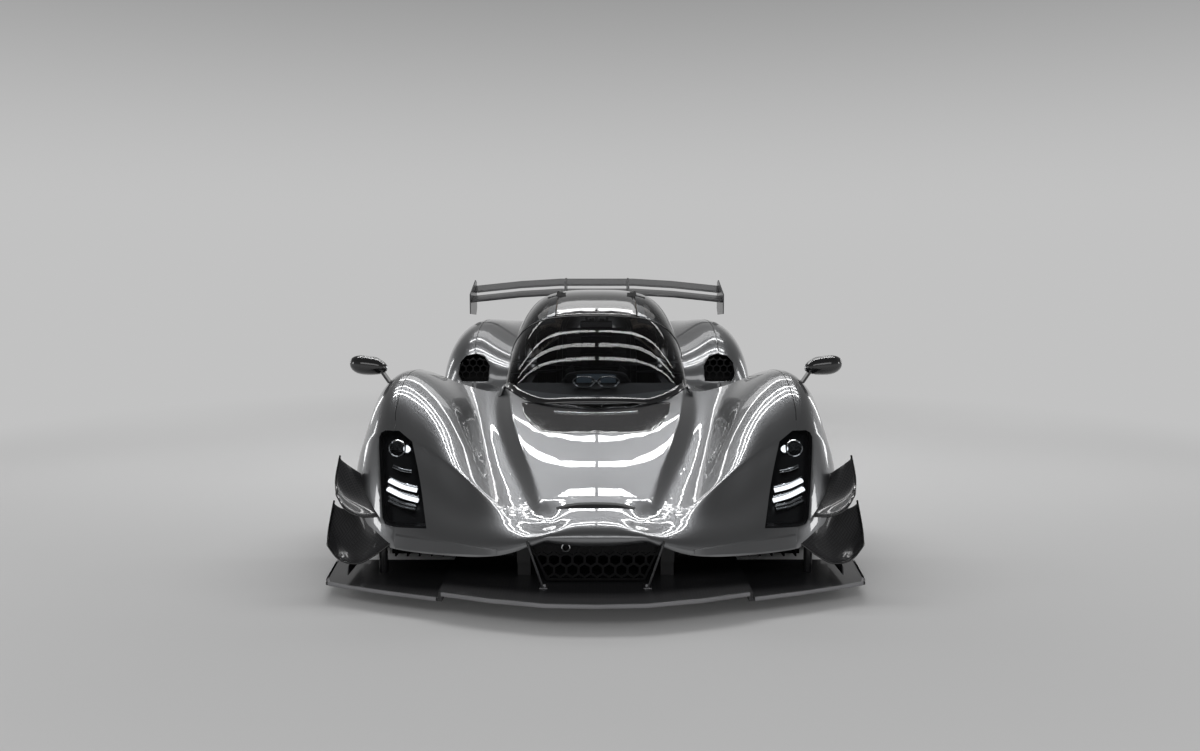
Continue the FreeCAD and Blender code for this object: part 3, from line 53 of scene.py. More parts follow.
class Tree:
    """A node tree with short ways to add to it."""

    def __init__(self, tree):
        self.tree = tree

    def add(self, kind, **settings):
        """A new node; a socket given as a setting is linked, another value is set on the input or the node."""
        node = self.tree.nodes.new(kind)
        for key, value in settings.items():
            socket = node.inputs.get(key.replace("_", " "))
            if isinstance(value, bpy.types.NodeSocket):
                self.tree.links.new(value, socket)
            elif socket:
                socket.default_value = value
            else:
                setattr(node, key, value)
        return node

    def join(self, source, target):
        self.tree.links.new(source, target)

    def math(self, operation, *values):
        node = self.add("ShaderNodeMath", operation=operation)
        for socket, value in zip(node.inputs, values):
            if isinstance(value, bpy.types.NodeSocket):
                self.join(value, socket)
            else:
                socket.default_value = value
        return node.outputs["Value"]

    def ramp(self, value, stops, **settings):
        node = self.add("ShaderNodeValToRGB", Fac=value)
        colours = node.color_ramp
        for key, setting in settings.items():
            setattr(colours, key, setting)
        while len(colours.elements) < len(stops):
            colours.elements.new(0.5)
        for element, (place, colour) in zip(colours.elements, stops):
            element.position = place
            element.color = (*colour, 1.0)
        return node.outputs["Color"]

    def sockets(self, in_out, **kinds):
        """Named sockets of a group, each with its kind or its plain value."""
        for name, value in kinds.items():
            kind = {int: "NodeSocketInt", float: "NodeSocketFloat"}.get(type(value), value)
            socket = self.tree.interface.new_socket(name=name.replace("_", " "), in_out=in_out, socket_type=kind)
            if kind != value:
                socket.default_value = value


# Materials
class Graph(Tree):
    """A material's node tree round its main shader."""

    def __init__(self, name):
        self.material = bpy.data.materials.new(name)
        self.material.use_nodes = True
        super().__init__(self.material.node_tree)
        self.shader = next(n for n in self.tree.nodes if n.type == "BSDF_PRINCIPLED")

    def set(self, **values):
        for key, value in values.items():
            self.shader.inputs[key.replace("_", " ")].default_value = value

    def feed(self, name, output):
        self.join(output, self.shader.inputs[name])

    def place(self, scale=(1, 1, 1), turn=(0, 0, 0)):
        """Object coordinates, scaled and turned."""
        place = self.add("ShaderNodeTexCoord").outputs["Object"]
        return self.add("ShaderNodeMapping", Vector=place, Scale=scale, Rotation=turn).outputs["Vector"]

    def noise(self, scale):
        return self.add("ShaderNodeTexNoise", Scale=scale, Detail=2.0, Vector=self.place()).outputs["Fac"]

    def spread(self, value, low, high):
        """A 0 to 1 value spread between low and high."""
        return self.add("ShaderNodeMapRange", Value=value, To_Min=low, To_Max=high).outputs["Result"]

    def bump(self, height, strength, distance):
        return self.add("ShaderNodeBump", Height=height, Strength=strength, Distance=distance).outputs["Normal"]

    def mixed(self, share, first, second):
        """The surface goes from the first shader's output to the second's by share."""
        mix = self.add("ShaderNodeMixShader")
        for socket, output in zip(mix.inputs, (share, first, second)):
            self.join(output, socket)
        out = next(n for n in self.tree.nodes if n.type == "OUTPUT_MATERIAL")
        self.join(mix.outputs["Shader"], out.inputs["Surface"])


def shades(colour, vary):
    """The darker and lighter ends of a colour."""
    return tuple(c * (1 - vary) for c in colour), tuple(min(1.0, c * (1 + vary)) for c in colour)


def shared_grain():
    """Fine grain with slow tone changes and uneven gloss, shared by moulded, cast and machined finishes."""
    group = Tree(bpy.data.node_groups.new("fine_grain", "ShaderNodeTree"))
    group.sockets("INPUT", Grain_scale="NodeSocketFloat", Grain_depth="NodeSocketFloat")
    group.sockets("OUTPUT", Tone="NodeSocketFloat", Gloss="NodeSocketFloat", Normal="NodeSocketVector")
    inlet = group.add("NodeGroupInput").outputs
    place = group.add("ShaderNodeTexCoord").outputs["Object"]
    slow = group.math("DIVIDE", inlet["Grain scale"], 6.0)
    tone, gloss, grain = (group.add("ShaderNodeTexNoise", Vector=place, Scale=scale).outputs["Fac"]
                          for scale in (6.0, slow, inlet["Grain scale"]))
    bump = group.add("ShaderNodeBump", Distance=0.0005, Strength=inlet["Grain depth"], Height=grain)
    group.add("NodeGroupOutput", Tone=tone, Gloss=gloss, Normal=bump.outputs["Normal"])
    return group.tree


FINE_GRAIN = shared_grain()


def paint(name, colour, flake, roughness):
    """Metallic lacquer: fine flakes of uneven tone under a smooth clear coat."""
    g = Graph(name)
    cells = g.add("ShaderNodeTexVoronoi", Scale=1400.0, Vector=g.place())
    shade = g.math("MULTIPLY", g.math("SUBTRACT", cells.outputs["Color"], 0.5), 0.25 * flake)
    tone = g.math("ADD", g.math("MULTIPLY", g.noise(3.0), 0.3), g.math("ADD", shade, 0.35))
    dark, light = shades(colour, flake)
    g.feed("Base Color", g.ramp(tone, [(0.0, dark), (1.0, light)]))
    g.set(Metallic=0.92, Roughness=roughness, Coat_Weight=1.0, Coat_Roughness=0.012, Coat_IOR=1.85)
    return g.material


def carbon(name, gloss, tint, thread):
    """Twill carbon cloth under lacquer."""
    g = Graph(name)
    scale = (1 / 0.0045,) * 3
    diagonal = math.radians(45)
    weave = [g.add("ShaderNodeTexWave", Scale=0.16, Vector=g.place(scale, (0, 0, turn))).outputs["Fac"]
             for turn in (diagonal, -diagonal)]
    checker = g.add("ShaderNodeTexChecker", Scale=0.5, Vector=g.place(scale, (0, 0, diagonal)))
    choose = g.add("ShaderNodeMix", data_type="FLOAT", Factor=checker.outputs["Fac"], A=weave[0], B=weave[1])
    cloth = choose.outputs["Result"]
    g.feed("Base Color", g.ramp(cloth, [(0.1, tint), (0.9, thread)]))
    g.set(Metallic=0.15, Roughness=0.38, Coat_Weight=gloss, Coat_Roughness=0.03)
    g.feed("Normal", g.bump(cloth, 0.12, 0.0006))
    return g.material


def plain(name, colour, roughness, metallic=0.0, coat=0.0, grain=300.0, depth=0.05, vary=0.08, **more):
    """Moulded, cast or machined surface with grain, slight colour variation and uneven gloss."""
    g = Graph(name)
    shared = g.add("ShaderNodeGroup", node_tree=FINE_GRAIN, Grain_scale=grain, Grain_depth=depth).outputs
    dark, light = shades(colour, vary)
    g.feed("Base Color", g.ramp(shared["Tone"], [(0.3, dark), (0.7, light)]))
    g.feed("Roughness", g.spread(shared["Gloss"], max(0.02, roughness * 0.85), min(1.0, roughness * 1.15)))
    g.set(Metallic=metallic, Coat_Weight=coat, Coat_Roughness=0.04, **more)
    if depth:
        g.feed("Normal", shared["Normal"])
    return g.material


def glazing(name, tint):
    """Thin glazing: light passes tinted, and the outer face mirrors more at a glancing angle."""
    g = Graph(name)
    body = (0.004, 0.004, 0.005)
    g.feed("Base Color", g.ramp(g.noise(2.0), [(0.3, body), (0.7, tuple(1.4 * c for c in body))]))
    g.feed("Roughness", g.spread(g.noise(4.0), 0.01, 0.03))
    g.set(Coat_Weight=1.0, Coat_Roughness=0.01)
    clear = g.add("ShaderNodeBsdfTransparent", Color=(*tint, 1.0))
    mirror = g.add("ShaderNodeFresnel", IOR=1.6)
    outside = g.math("SUBTRACT", 1.0, g.add("ShaderNodeNewGeometry").outputs["Backfacing"])
    share = g.math("MULTIPLY", outside, g.math("ADD", mirror.outputs["Fac"], 0.05))
    g.mixed(share, clear.outputs["BSDF"], g.shader.outputs["BSDF"])
    return g.material


def ringed(name, colour, roughness, axle, metallic=0.0, pitch=220.0, depth=0.1):
    """Fine turned rings round an axle along X."""
    g = Graph(name)
    place = g.add("ShaderNodeSeparateXYZ", Vector=g.add("ShaderNodeTexCoord").outputs["Object"]).outputs
    y, z = (g.math("SUBTRACT", place[axis], middle) for axis, middle in zip("YZ", axle))
    radius = g.math("SQRT", g.math("ADD", g.math("MULTIPLY", y, y), g.math("MULTIPLY", z, z)))
    rings = g.math("SINE", g.math("MULTIPLY", radius, pitch * 2 * math.pi))
    g.feed("Base Color", g.ramp(g.noise(9.0), [(0.3, tuple(c * 0.85 for c in colour)), (0.7, colour)]))
    g.set(Metallic=metallic, Roughness=roughness)
    g.feed("Normal", g.bump(rings, depth, 0.0004))
    return g.material


def glow(name, colour, strength):
    """A lit lamp or screen."""
    g = Graph(name)
    g.feed("Base Color", g.ramp(g.noise(40.0), [(0.3, tuple(0.8 * c for c in colour)), (0.7, colour)]))
    g.set(Roughness=0.15, Coat_Weight=1.0, Emission_Color=(*colour, 1.0), Emission_Strength=strength)
    return g.material


SILVER = paint("silver_paint", (0.175, 0.179, 0.185), 0.16, 0.30)
CARBON = carbon("gloss_carbon", 0.45, tint=(0.008, 0.008, 0.009), thread=(0.030, 0.030, 0.033))
BLACK = plain("gloss_black", (0.008, 0.008, 0.009), 0.12, coat=1.0, grain=90.0, depth=0.0)
SATIN = plain("satin_black", (0.02, 0.02, 0.021), 0.45, grain=700.0, depth=0.12)
DARK = plain("grille_black", (0.005, 0.005, 0.0055), 0.55, grain=500.0, depth=0.08, Specular_IOR_Level=0.2)
GLASS = glazing("dark_glass", (0.70, 0.71, 0.72))
LENS = glazing("lamp_lens", (0.80, 0.81, 0.82))
LAMP = plain("lamp_housing", (0.015, 0.015, 0.017), 0.3, coat=0.5)
RED = plain("red_lens", (0.42, 0.006, 0.006), 0.12, coat=1.0, depth=0.0)
WHITE_GLOW = glow("lamp_white", (0.95, 0.97, 1.0), 2.2)
RED_GLOW = glow("lamp_red", (0.9, 0.02, 0.015), 1.2)
SCREEN_GLOW = glow("screen_glow", (0.10, 0.13, 0.16), 0.3)
WHEEL = plain("forged_wheel", (0.035, 0.035, 0.038), 0.32, metallic=0.8, coat=0.3, grain=500.0)
METAL = plain("machined_metal", (0.30, 0.30, 0.31), 0.35, metallic=1.0, grain=800.0)
CAST = plain("cast_metal", (0.22, 0.22, 0.225), 0.5, metallic=0.9, grain=260.0, depth=0.25)
TITANIUM = plain("heated_metal", (0.36, 0.30, 0.25), 0.28, metallic=1.0, grain=400.0, vary=0.3)
CHROME = plain("polished_metal", (0.62, 0.63, 0.64), 0.08, metallic=1.0, grain=60.0, depth=0.004, vary=0.04)
MIRROR = plain("mirror_glass", (0.75, 0.77, 0.8), 0.02, metallic=1.0, grain=60.0, depth=0.0, vary=0.02)
CALIPER = plain("caliper_paint", (0.32, 0.012, 0.010), 0.28, coat=0.8, grain=200.0, depth=0.02)
CLOTH = plain("seat_cloth", (0.02, 0.02, 0.022), 0.85, grain=900.0, depth=0.35)
THREAD = plain("seat_thread", (0.30, 0.30, 0.31), 0.7, grain=900.0)
WEBBING = plain("belt_webbing", (0.03, 0.03, 0.032), 0.7, grain=1200.0, depth=0.3)

# Axles: place along the car and height.
AXLES = {"front": (-1.28, 0.346), "rear": (1.44, 0.364)}
DISC = {end: ringed("disc_" + end, (0.30, 0.30, 0.31), 0.28, axle, metallic=1.0) for end, axle in AXLES.items()}
RUBBER = {end: ringed("rubber_" + end, (0.018, 0.018, 0.019), 0.72, axle, pitch=110.0, depth=0.15)
          for end, axle in AXLES.items()}

BY_SLOT = {
    "silver_paint": SILVER, "carbon": CARBON, "black_gloss": BLACK, "satin_black": SATIN, "dark_glass": GLASS,
    "lens": LENS, "lamp": LAMP, "red_lens": RED, "wheel": WHEEL, "upright": METAL, "engine": CAST,
    "titanium": TITANIUM, "cloth": CLOTH,
}
SLOT_FOR = {material: slot for slot, material in BY_SLOT.items()}
SLOT_FOR.update({DARK: "satin_black", WHITE_GLOW: "lens", RED_GLOW: "red_lens", SCREEN_GLOW: "dark_glass",
                 CHROME: "upright", MIRROR: "black_gloss", CALIPER: "upright", WEBBING: "cloth"})
SLOT_OF = {entry["node"]: entry["material_slot"] for entry in frame["record"]["subparts"]}


def finish_of(name):
    """The material of a CAD node."""
    end = "front" if "front" in name else "rear"
    if name.startswith("disc_"):
        return DISC[end]
    if name.startswith("tyre_"):
        return RUBBER[end]
    if name in ("front_grille", "intake_ducts", "tail_panel"):
        return DARK
    return BLACK if name == "mirrors" else BY_SLOT[SLOT_OF[name]]


for name, obj in nodes.items():
    for entry in obj.material_slots:
        entry.material = finish_of(name)


class Pattern(Tree):
    """A Geometry Nodes tree with named sizes."""

    def __init__(self, name, **sizes):
        super().__init__(bpy.data.node_groups.new(name, "GeometryNodeTree"))
        self.sockets("INPUT", Geometry="NodeSocketGeometry", **sizes)
        self.sockets("OUTPUT", Geometry="NodeSocketGeometry")
        self.inlet = self.add("NodeGroupInput")

    def size(self, name):
        return self.inlet.outputs[name]

    def vector(self, x=0.0, y=0.0, z=0.0):
        return self.add("ShaderNodeCombineXYZ", X=x, Y=y, Z=z).outputs["Vector"]

    def end(self, geometry, material):
        """Realises what repeats and sets its material."""
        real = self.add("GeometryNodeRealizeInstances", Geometry=geometry)
        finish = self.add("GeometryNodeSetMaterial", Geometry=real.outputs["Geometry"], Material=material)
        self.add("NodeGroupOutput", Geometry=finish.outputs["Geometry"])

    def grown(self, base=None, **sizes):
        """A plain mesh from this pattern on a base mesh."""
        obj = placed("grown", base or bpy.data.meshes.new("empty"))
        modifier = obj.modifiers.new("grow", "NODES")
        modifier.node_group = self.tree
        for item in self.tree.interface.items_tree:
            name = item.name.replace(" ", "_")
            if item.item_type == "SOCKET" and item.in_out == "INPUT" and name in sizes:
                modifier[item.identifier] = sizes[name]
        return baked(obj)


def soften(name, width, angle=35):
    """Rounds the edges of a CAD node, so that seams and rims catch the light."""
    obj = nodes[name]
    weld = obj.modifiers.new("weld", "WELD")
    weld.merge_threshold = 0.00002
    bevel = obj.modifiers.new("edge", "BEVEL")
    bevel.width = width
    bevel.segments = 2
    bevel.limit_method = "ANGLE"
    bevel.angle_limit = math.radians(angle)
    bevel.harden_normals = True


def flatten_hood():
    """The hood between its creases is drawn flatter, so that ceiling lights lie across it as straight bars."""
    p = Pattern("flat_hood", Drop=0.022, Lip_rise=0.006, Rear_half_width=0.345, Front_half_width=0.175)
    place = p.add("ShaderNodeSeparateXYZ", Vector=p.add("GeometryNodeInputPosition").outputs["Position"]).outputs

    def ranged(start, end, low, high, kind):
        node = p.add("ShaderNodeMapRange", interpolation_type=kind, Value=place["Y"], From_Min=start, From_Max=end,
                     To_Min=low, To_Max=high)
        return node.outputs["Result"]

    drop = ranged(-1.47, -1.91, 0.0, p.size("Drop"), "LINEAR")
    drop = p.math("SUBTRACT", drop, ranged(-1.95, -2.14, 0.0, p.size("Lip rise"), "SMOOTHSTEP"))
    half = ranged(-1.44, -2.12, p.size("Rear half width"), p.size("Front half width"), "LINEAR")
    share = p.math("POWER", p.math("DIVIDE", p.math("ABSOLUTE", place["X"]), half), 2.5)
    share = p.math("MAXIMUM", p.math("SUBTRACT", 1.0, share), 0.0)
    shift = p.vector(z=p.math("MULTIPLY", p.math("MULTIPLY", drop, share), -1.0))
    move = p.add("GeometryNodeSetPosition", Geometry=p.size("Geometry"), Offset=shift)
    p.add("NodeGroupOutput", Geometry=move.outputs["Geometry"])
    nodes["front_clam"].modifiers.new("flat_hood", "NODES").node_group = p.tree


# Widths of the rounded edges of painted panels and of thin plates.
PANEL_EDGE, PLATE_EDGE = 0.0025, 0.0015
flatten_hood()
for name in nodes:
    if SLOT_OF[name] == "silver_paint" and name != "front_clam":
        soften(name, PANEL_EDGE, 55)
    elif SLOT_OF[name] in ("carbon", "black_gloss"):
        soften(name, PLATE_EDGE)


# Building blocks
def placed(name, data):
    """A new object in the scene."""
    obj = bpy.data.objects.new(name, data)
    bpy.context.scene.collection.objects.link(obj)
    return obj


def baked(obj):
    """The plain mesh of an object with its modifiers, which is then removed."""
    data = bpy.data.meshes.new_from_object(obj.evaluated_get(bpy.context.evaluated_depsgraph_get()))
    bpy.data.objects.remove(obj)
    return data


@contextmanager
def edited(data):
    """The mesh opened for editing, and written back after."""
    mesh = bmesh.new()
    mesh.from_mesh(data)
    yield mesh
    mesh.to_mesh(data)
    mesh.free()


def bevelled(mesh, edges, offset, segments=2, clamp=False):
    bmesh.ops.bevel(mesh, geom=edges, offset=offset, segments=segments, profile=0.5, affect="EDGES",
                    clamp_overlap=clamp)


def piece(name, data, material, body="chassis", slot=None, smooth=True, split=40):
    """A finished piece from mesh data, riding on a CAD body, smooth up to the split angle in degrees."""
    obj = placed(name, data)
    if not data.materials:
        data.materials.append(material)
    if smooth:
        with edited(data) as mesh:
            for face in mesh.faces:
                face.smooth = True
            for edge in mesh.edges:
                edge.smooth = edge.is_manifold and edge.calc_face_angle(0) < math.radians(split)
    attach(obj, body)
    slot or SLOT_FOR[material]
    return obj


def mesh_of(verts, faces):
    data = bpy.data.meshes.new("part")
    data.from_pydata([tuple(v) for v in verts], [], faces)
    data.validate()
    with edited(data) as mesh:
        bmesh.ops.recalc_face_normals(mesh, faces=mesh.faces)
    return data


def joined(meshes):
    """One mesh from several."""
    whole = bmesh.new()
    for data in meshes:
        whole.from_mesh(data)
        bpy.data.meshes.remove(data)
    out = bpy.data.meshes.new("joined")
    whole.to_mesh(out)
    whole.free()
    return out


def moved(data, place, turn=Matrix(), stretch=(1, 1, 1)):
    """The mesh stretched, turned and moved to its place."""
    data.transform(Matrix.Translation(place) @ turn @ Matrix.Diagonal((*stretch, 1)))
    return data


def turn_about(axis, degrees):
    return Matrix.Rotation(math.radians(degrees), 4, axis)


def mirrored(data):
    """This mesh and its mirror image on the car's other side."""
    other = data.copy()
    other.transform(Matrix.Scale(-1, 4, (1, 0, 0)))
    other.flip_normals()
    return joined([data, other])


def rounded_box(size, bevel, place, segments=3, turn=Matrix()):
    mesh = bmesh.new()
    bmesh.ops.create_cube(mesh, size=1.0)
    bmesh.ops.scale(mesh, vec=size, verts=mesh.verts)
    bevelled(mesh, mesh.edges[:], bevel, segments)
    data = bpy.data.meshes.new("box")
    mesh.to_mesh(data)
    mesh.free()
    return moved(data, place, turn)


def plate_of(outline, thickness, axis, start, bevel=0.0):
    """A flat plate from an outline of (a, b) points, thick along an axis, with rounded rims."""
    place = {"X": lambda a, b, t: (t, a, b), "Y": lambda a, b, t: (a, t, b), "Z": lambda a, b, t: (a, b, t)}[axis]
    count = len(outline)
    verts = [place(a, b, t) for t in (start, start + thickness) for a, b in outline]
    faces = [tuple(range(count)), tuple(range(2 * count - 1, count - 1, -1))]
    faces += [(i, (i + 1) % count, count + (i + 1) % count, count + i) for i in range(count)]
    data = mesh_of(verts, faces)
    if bevel:
        with edited(data) as mesh:
            bevelled(mesh, mesh.edges[:], bevel, clamp=True)
    return data


def sweep(path, section, ups):
    """A section of (sideways, up) points swept along a path; ups gives the up direction, one or for each point."""
    points = [Vector(p) for p in path]
    count, ring = len(points), len(section)
    verts = []
    for i, point in enumerate(points):
        ahead = (points[min(i + 1, count - 1)] - points[max(i - 1, 0)]).normalized()
        side = ahead.cross(Vector(ups[i] if isinstance(ups, list) else ups)).normalized()
        up = side.cross(ahead).normalized()
        verts += [point + side * a + up * b for a, b in section]
    faces = [(i * ring + k, i * ring + (k + 1) % ring, (i + 1) * ring + (k + 1) % ring, (i + 1) * ring + k)
             for i in range(count - 1) for k in range(ring)]
    faces += [tuple(range(ring)), tuple(range(count * ring - 1, (count - 1) * ring - 1, -1))]
    return mesh_of(verts, faces)


def circle(radius, count=10, squash=1.0):
    return [(radius * math.cos(2 * math.pi * k / count), squash * radius * math.sin(2 * math.pi * k / count))
            for k in range(count)]


def strip(width, height, sink=0.002):
    """The section of a low rounded strip that lies on a surface."""
    half = width / 2
    return [(-half, -sink), (-half, 0.3 * height), (-half + height, height), (half - height, height),
            (half, 0.3 * height), (half, -sink)]


def turned(profile, centre, axis="X", count=48):
    """A turned form from (along, radius) points round an axis through centre."""
    verts = []
    ring = len(profile)
    for k in range(count):
        angle = 2 * math.pi * k / count
        c, s = math.cos(angle), math.sin(angle)
        for along, radius in profile:
            local = {"X": (along, radius * c, radius * s), "Y": (radius * c, along, radius * s),
                     "Z": (radius * c, radius * s, along)}[axis]
            verts.append(Vector(centre) + Vector(local))
    faces = [(k * ring + i, k * ring + i + 1, (k + 1) % count * ring + i + 1, (k + 1) % count * ring + i)
             for k in range(count) for i in range(ring - 1)]
    return mesh_of(verts, faces)


def wire(paths):
    """Loose edges through points, the base of a pattern along a line."""
    verts, edges = [], []
    for path in paths:
        start = len(verts)
        verts += [tuple(p) for p in path]
        edges += [(start + i, start + i + 1) for i in range(len(path) - 1)]
    data = bpy.data.meshes.new("wire")
    data.from_pydata(verts, edges, [])
    return data


def studs_pattern(material):
    """Round heads in a ring round an axle along X."""
    p = Pattern("stud_ring", Count=10, Ring_radius=0.05, Head_radius=0.005, Head_height=0.006)
    ring = p.add("GeometryNodeMeshCircle", Vertices=p.size("Count"), Radius=p.size("Ring radius"))
    head = p.add("GeometryNodeMeshCylinder", Vertices=12, Radius=p.size("Head radius"), Depth=p.size("Head height"))
    many = p.add("GeometryNodeInstanceOnPoints", Points=ring.outputs["Mesh"], Instance=head.outputs["Mesh"])
    turn = p.add("GeometryNodeTransform", Geometry=many.outputs["Instances"], Rotation=(0, math.pi / 2, 0))
    p.end(turn.outputs["Geometry"], material)
    return p


def links_pattern(name, material, size, spacing):
    """Small blocks along a line, each lying along it, as stitches, screws or vent bars do."""
    p = Pattern(name, Spacing=spacing, Length=size[0], Width=size[1], Height=size[2])
    curve = p.add("GeometryNodeMeshToCurve", Mesh=p.size("Geometry"))
    even = p.add("GeometryNodeResampleCurve", Curve=curve.outputs["Curve"], mode="LENGTH", Length=p.size("Spacing"))
    points = p.add("GeometryNodeCurveToPoints", Curve=even.outputs["Curve"], mode="EVALUATED")
    block = p.add("GeometryNodeMeshCube", Size=p.vector(p.size("Width"), p.size("Height"), p.size("Length")))
    many = p.add("GeometryNodeInstanceOnPoints", Points=points.outputs["Points"], Instance=block.outputs["Mesh"],
                 Rotation=points.outputs["Rotation"])
    p.end(many.outputs["Instances"], material)
    return p


def ray_tree(data):
    return BVHTree.FromPolygons([v.co for v in data.vertices], [p.vertices for p in data.polygons])


class Surface:
    """The outer surfaces of some CAD nodes, to lay pieces on."""

    def __init__(self, *names):
        self.trees = [ray_tree(nodes[name].data) for name in names]

    def hit(self, start, way):
        """The nearest place and its outward normal on a line from start, or None."""
        best = None
        for tree in self.trees:
            place, normal, _, distance = tree.ray_cast(Vector(start), Vector(way).normalized())
            if place and (best is None or distance < best[2]):
                best = (place, normal if normal.dot(Vector(way)) < 0 else -normal, distance)
        return best[:2] if best else None

    def from_front(self, x, z):
        return self.hit((x, -4, z), (0, 1, 0))

    def from_above(self, x, y):
        return self.hit((x, y, 3), (0, 0, -1))


def swept_on(hits, section):
    """A section swept over places on a surface, upright on it."""
    hits = [hit for hit in hits if hit]
    return sweep([place for place, _ in hits], section, [normal for _, normal in hits])


def between(points, steps):
    """Points in even steps along a smooth curve through the given ones."""
    points = [Vector(p) for p in points]
    ends = [2 * points[0] - points[1]] + points + [2 * points[-1] - points[-2]]
    out = []
    for a, b, c, d in zip(ends, ends[1:], ends[2:], ends[3:]):
        square, cube = 2 * a - 5 * b + 4 * c - d, 3 * b - a - 3 * c + d
        for t in (k / steps for k in range(steps)):
            out.append(0.5 * (2 * b + (c - a) * t + square * t**2 + cube * t**3))
    return out + [points[-1]]


def curved(grid, steps):
    """A fine grid of points through a coarse one."""
    rows = [between(row, steps) for row in grid]
    columns = [between(column, steps) for column in zip(*rows)]
    return [list(row) for row in zip(*columns)]


def closed_sheet(first, second, rising=False):
    """A closed mesh between two grids of points of the same size, rising where the second one lies on top."""
    deep, wide = len(first), len(first[0])
    count = deep * wide
    faces = []
    for j in range(deep - 1):
        for i in range(wide - 1):
            a, b, c, d = j * wide + i, j * wide + i + 1, (j + 1) * wide + i + 1, (j + 1) * wide + i
            if rising:
                faces += [(a, d, c, b), (count + a, count + b, count + c, count + d)]
            else:
                faces += [(a, b, c, d), (count + d, count + c, count + b, count + a)]
    rim = list(range(wide)) + [j * wide + wide - 1 for j in range(1, deep)]
    rim += [(deep - 1) * wide + i for i in range(wide - 2, -1, -1)] + [j * wide for j in range(deep - 2, 0, -1)]
    faces += [(a, b, count + b, count + a) for a, b in zip(rim, rim[1:] + rim[:1])]
    return mesh_of([p for grid in (first, second) for row in grid for p in row], faces)


def sheet_of(grid, thickness, steps=6):
    """A curved plate of even thickness from a coarse grid of points, with a round rim."""
    fine = curved(grid, steps)
    wide, deep = len(fine[0]), len(fine)
    top, low = [], []
    for j in range(deep):
        normals = []
        for i in range(wide):
            lengthwise = fine[j][min(i + 1, wide - 1)] - fine[j][max(i - 1, 0)]
            across = fine[min(j + 1, deep - 1)][i] - fine[max(j - 1, 0)][i]
            normals.append(lengthwise.cross(across).normalized() * thickness / 2)
        top.append([p + n for p, n in zip(fine[j], normals)])
        low.append([p - n for p, n in zip(fine[j], normals)])
    data = closed_sheet(top, low)
    with edited(data) as mesh:
        sharp = [e for e in mesh.edges if e.is_manifold and e.calc_face_angle(0) > math.radians(60)]
        bevelled(mesh, sharp, thickness * 0.35)
    return data


def stuffed(data, voxel, cap):
    """A padded form: the mesh is swollen by cloth simulation, no point further than the cap."""
    frames, pressure = 20, 4.0
    obj = placed("pad", data)
    remesh = obj.modifiers.new("remesh", "REMESH")
    remesh.mode = "VOXEL"
    remesh.voxel_size = voxel
    start = baked(obj)
    rest = [v.co.copy() for v in start.vertices]
    obj = placed("pad", start)
    cloth = obj.modifiers.new("cloth", "CLOTH")
    cloth.settings.use_pressure = True
    cloth.settings.uniform_pressure_force = pressure
    cloth.settings.effector_weights.gravity = 0
    cloth.settings.quality = 4
    cloth.point_cache.frame_start = 1
    cloth.point_cache.frame_end = frames
    for step in range(frames):
        bpy.context.scene.frame_set(step + 1)
    swollen = baked(obj)
    bpy.context.scene.frame_set(1)
    for vertex, before in zip(swollen.vertices, rest):
        move = vertex.co - before
        if move.length > cap:
            vertex.co = before + move * (cap / move.length)
    return swollen


# Lamps: bars behind the lens, lit or polished, and two projectors.
UP = Vector((0, 0, 1))
lens = Surface("headlamp_lenses")
lamp_parts, lamp_glow, lamp_chrome = [], [], []
# Lamp bars: height at the outer end, at the inner end, outer x, inner x, half height, lit.
for outer_z, inner_z, outer_x, inner_x, tall, lit in ((0.462, 0.440, 0.822, 0.748, 0.006, False),
                                                      (0.415, 0.378, 0.830, 0.716, 0.011, True),
                                                      (0.385, 0.345, 0.832, 0.706, 0.011, True),
                                                      (0.345, 0.318, 0.822, 0.712, 0.011, False)):
    spots = ((outer_x, outer_z), ((outer_x + inner_x) / 2, (outer_z + inner_z) / 2 - 0.003), (inner_x, inner_z))
    path = between([lens.from_front(x, z)[0] + Vector((0, 0.026, 0)) for x, z in spots], 6)
    (lamp_glow if lit else lamp_chrome).append(sweep(path, circle(tall if lit else 0.6 * tall, 12, 0.8), UP))
    lamp_chrome.append(sweep([p + Vector((0, 0.006, tall * 1.25)) for p in path], circle(0.0035, 8), UP))
    lamp_parts.append(sweep([p + Vector((0, 0.012, -tall * 0.3)) for p in path], circle(tall * 1.5, 12, 0.8), UP))
centre = lens.from_front(0.815, 0.53)[0] + Vector((0, 0.034, 0))
lamp_chrome.append(turned([(-0.012, 0.030), (-0.014, 0.034), (-0.008, 0.037), (0.01, 0.036)], centre, "Y"))
lamp_parts.append(turned([(0.008, 0.0), (0.008, 0.029), (-0.012, 0.031)], centre, "Y"))
projector = turned([(-0.016, 0.0), (-0.0155, 0.008), (-0.013, 0.016), (-0.008, 0.023), (0.0, 0.027)], centre, "Y")
centre = lens.from_front(0.778, 0.525)[0] + Vector((0, 0.036, 0))
lamp_chrome.append(turned([(-0.010, 0.016), (-0.012, 0.018), (-0.006, 0.020), (0.01, 0.020)], centre, "Y"))
lamp_glow.append(turned([(-0.002, 0.0), (-0.002, 0.015)], centre, "Y"))
piece("lamp_bars", mirrored(joined(lamp_glow)), WHITE_GLOW)
piece("lamp_rims", mirrored(joined(lamp_chrome)), CHROME, slot="lamp")
piece("lamp_reflectors", mirrored(joined(lamp_parts)), BLACK, slot="lamp")
piece("lamp_projectors", mirrored(projector), LENS)

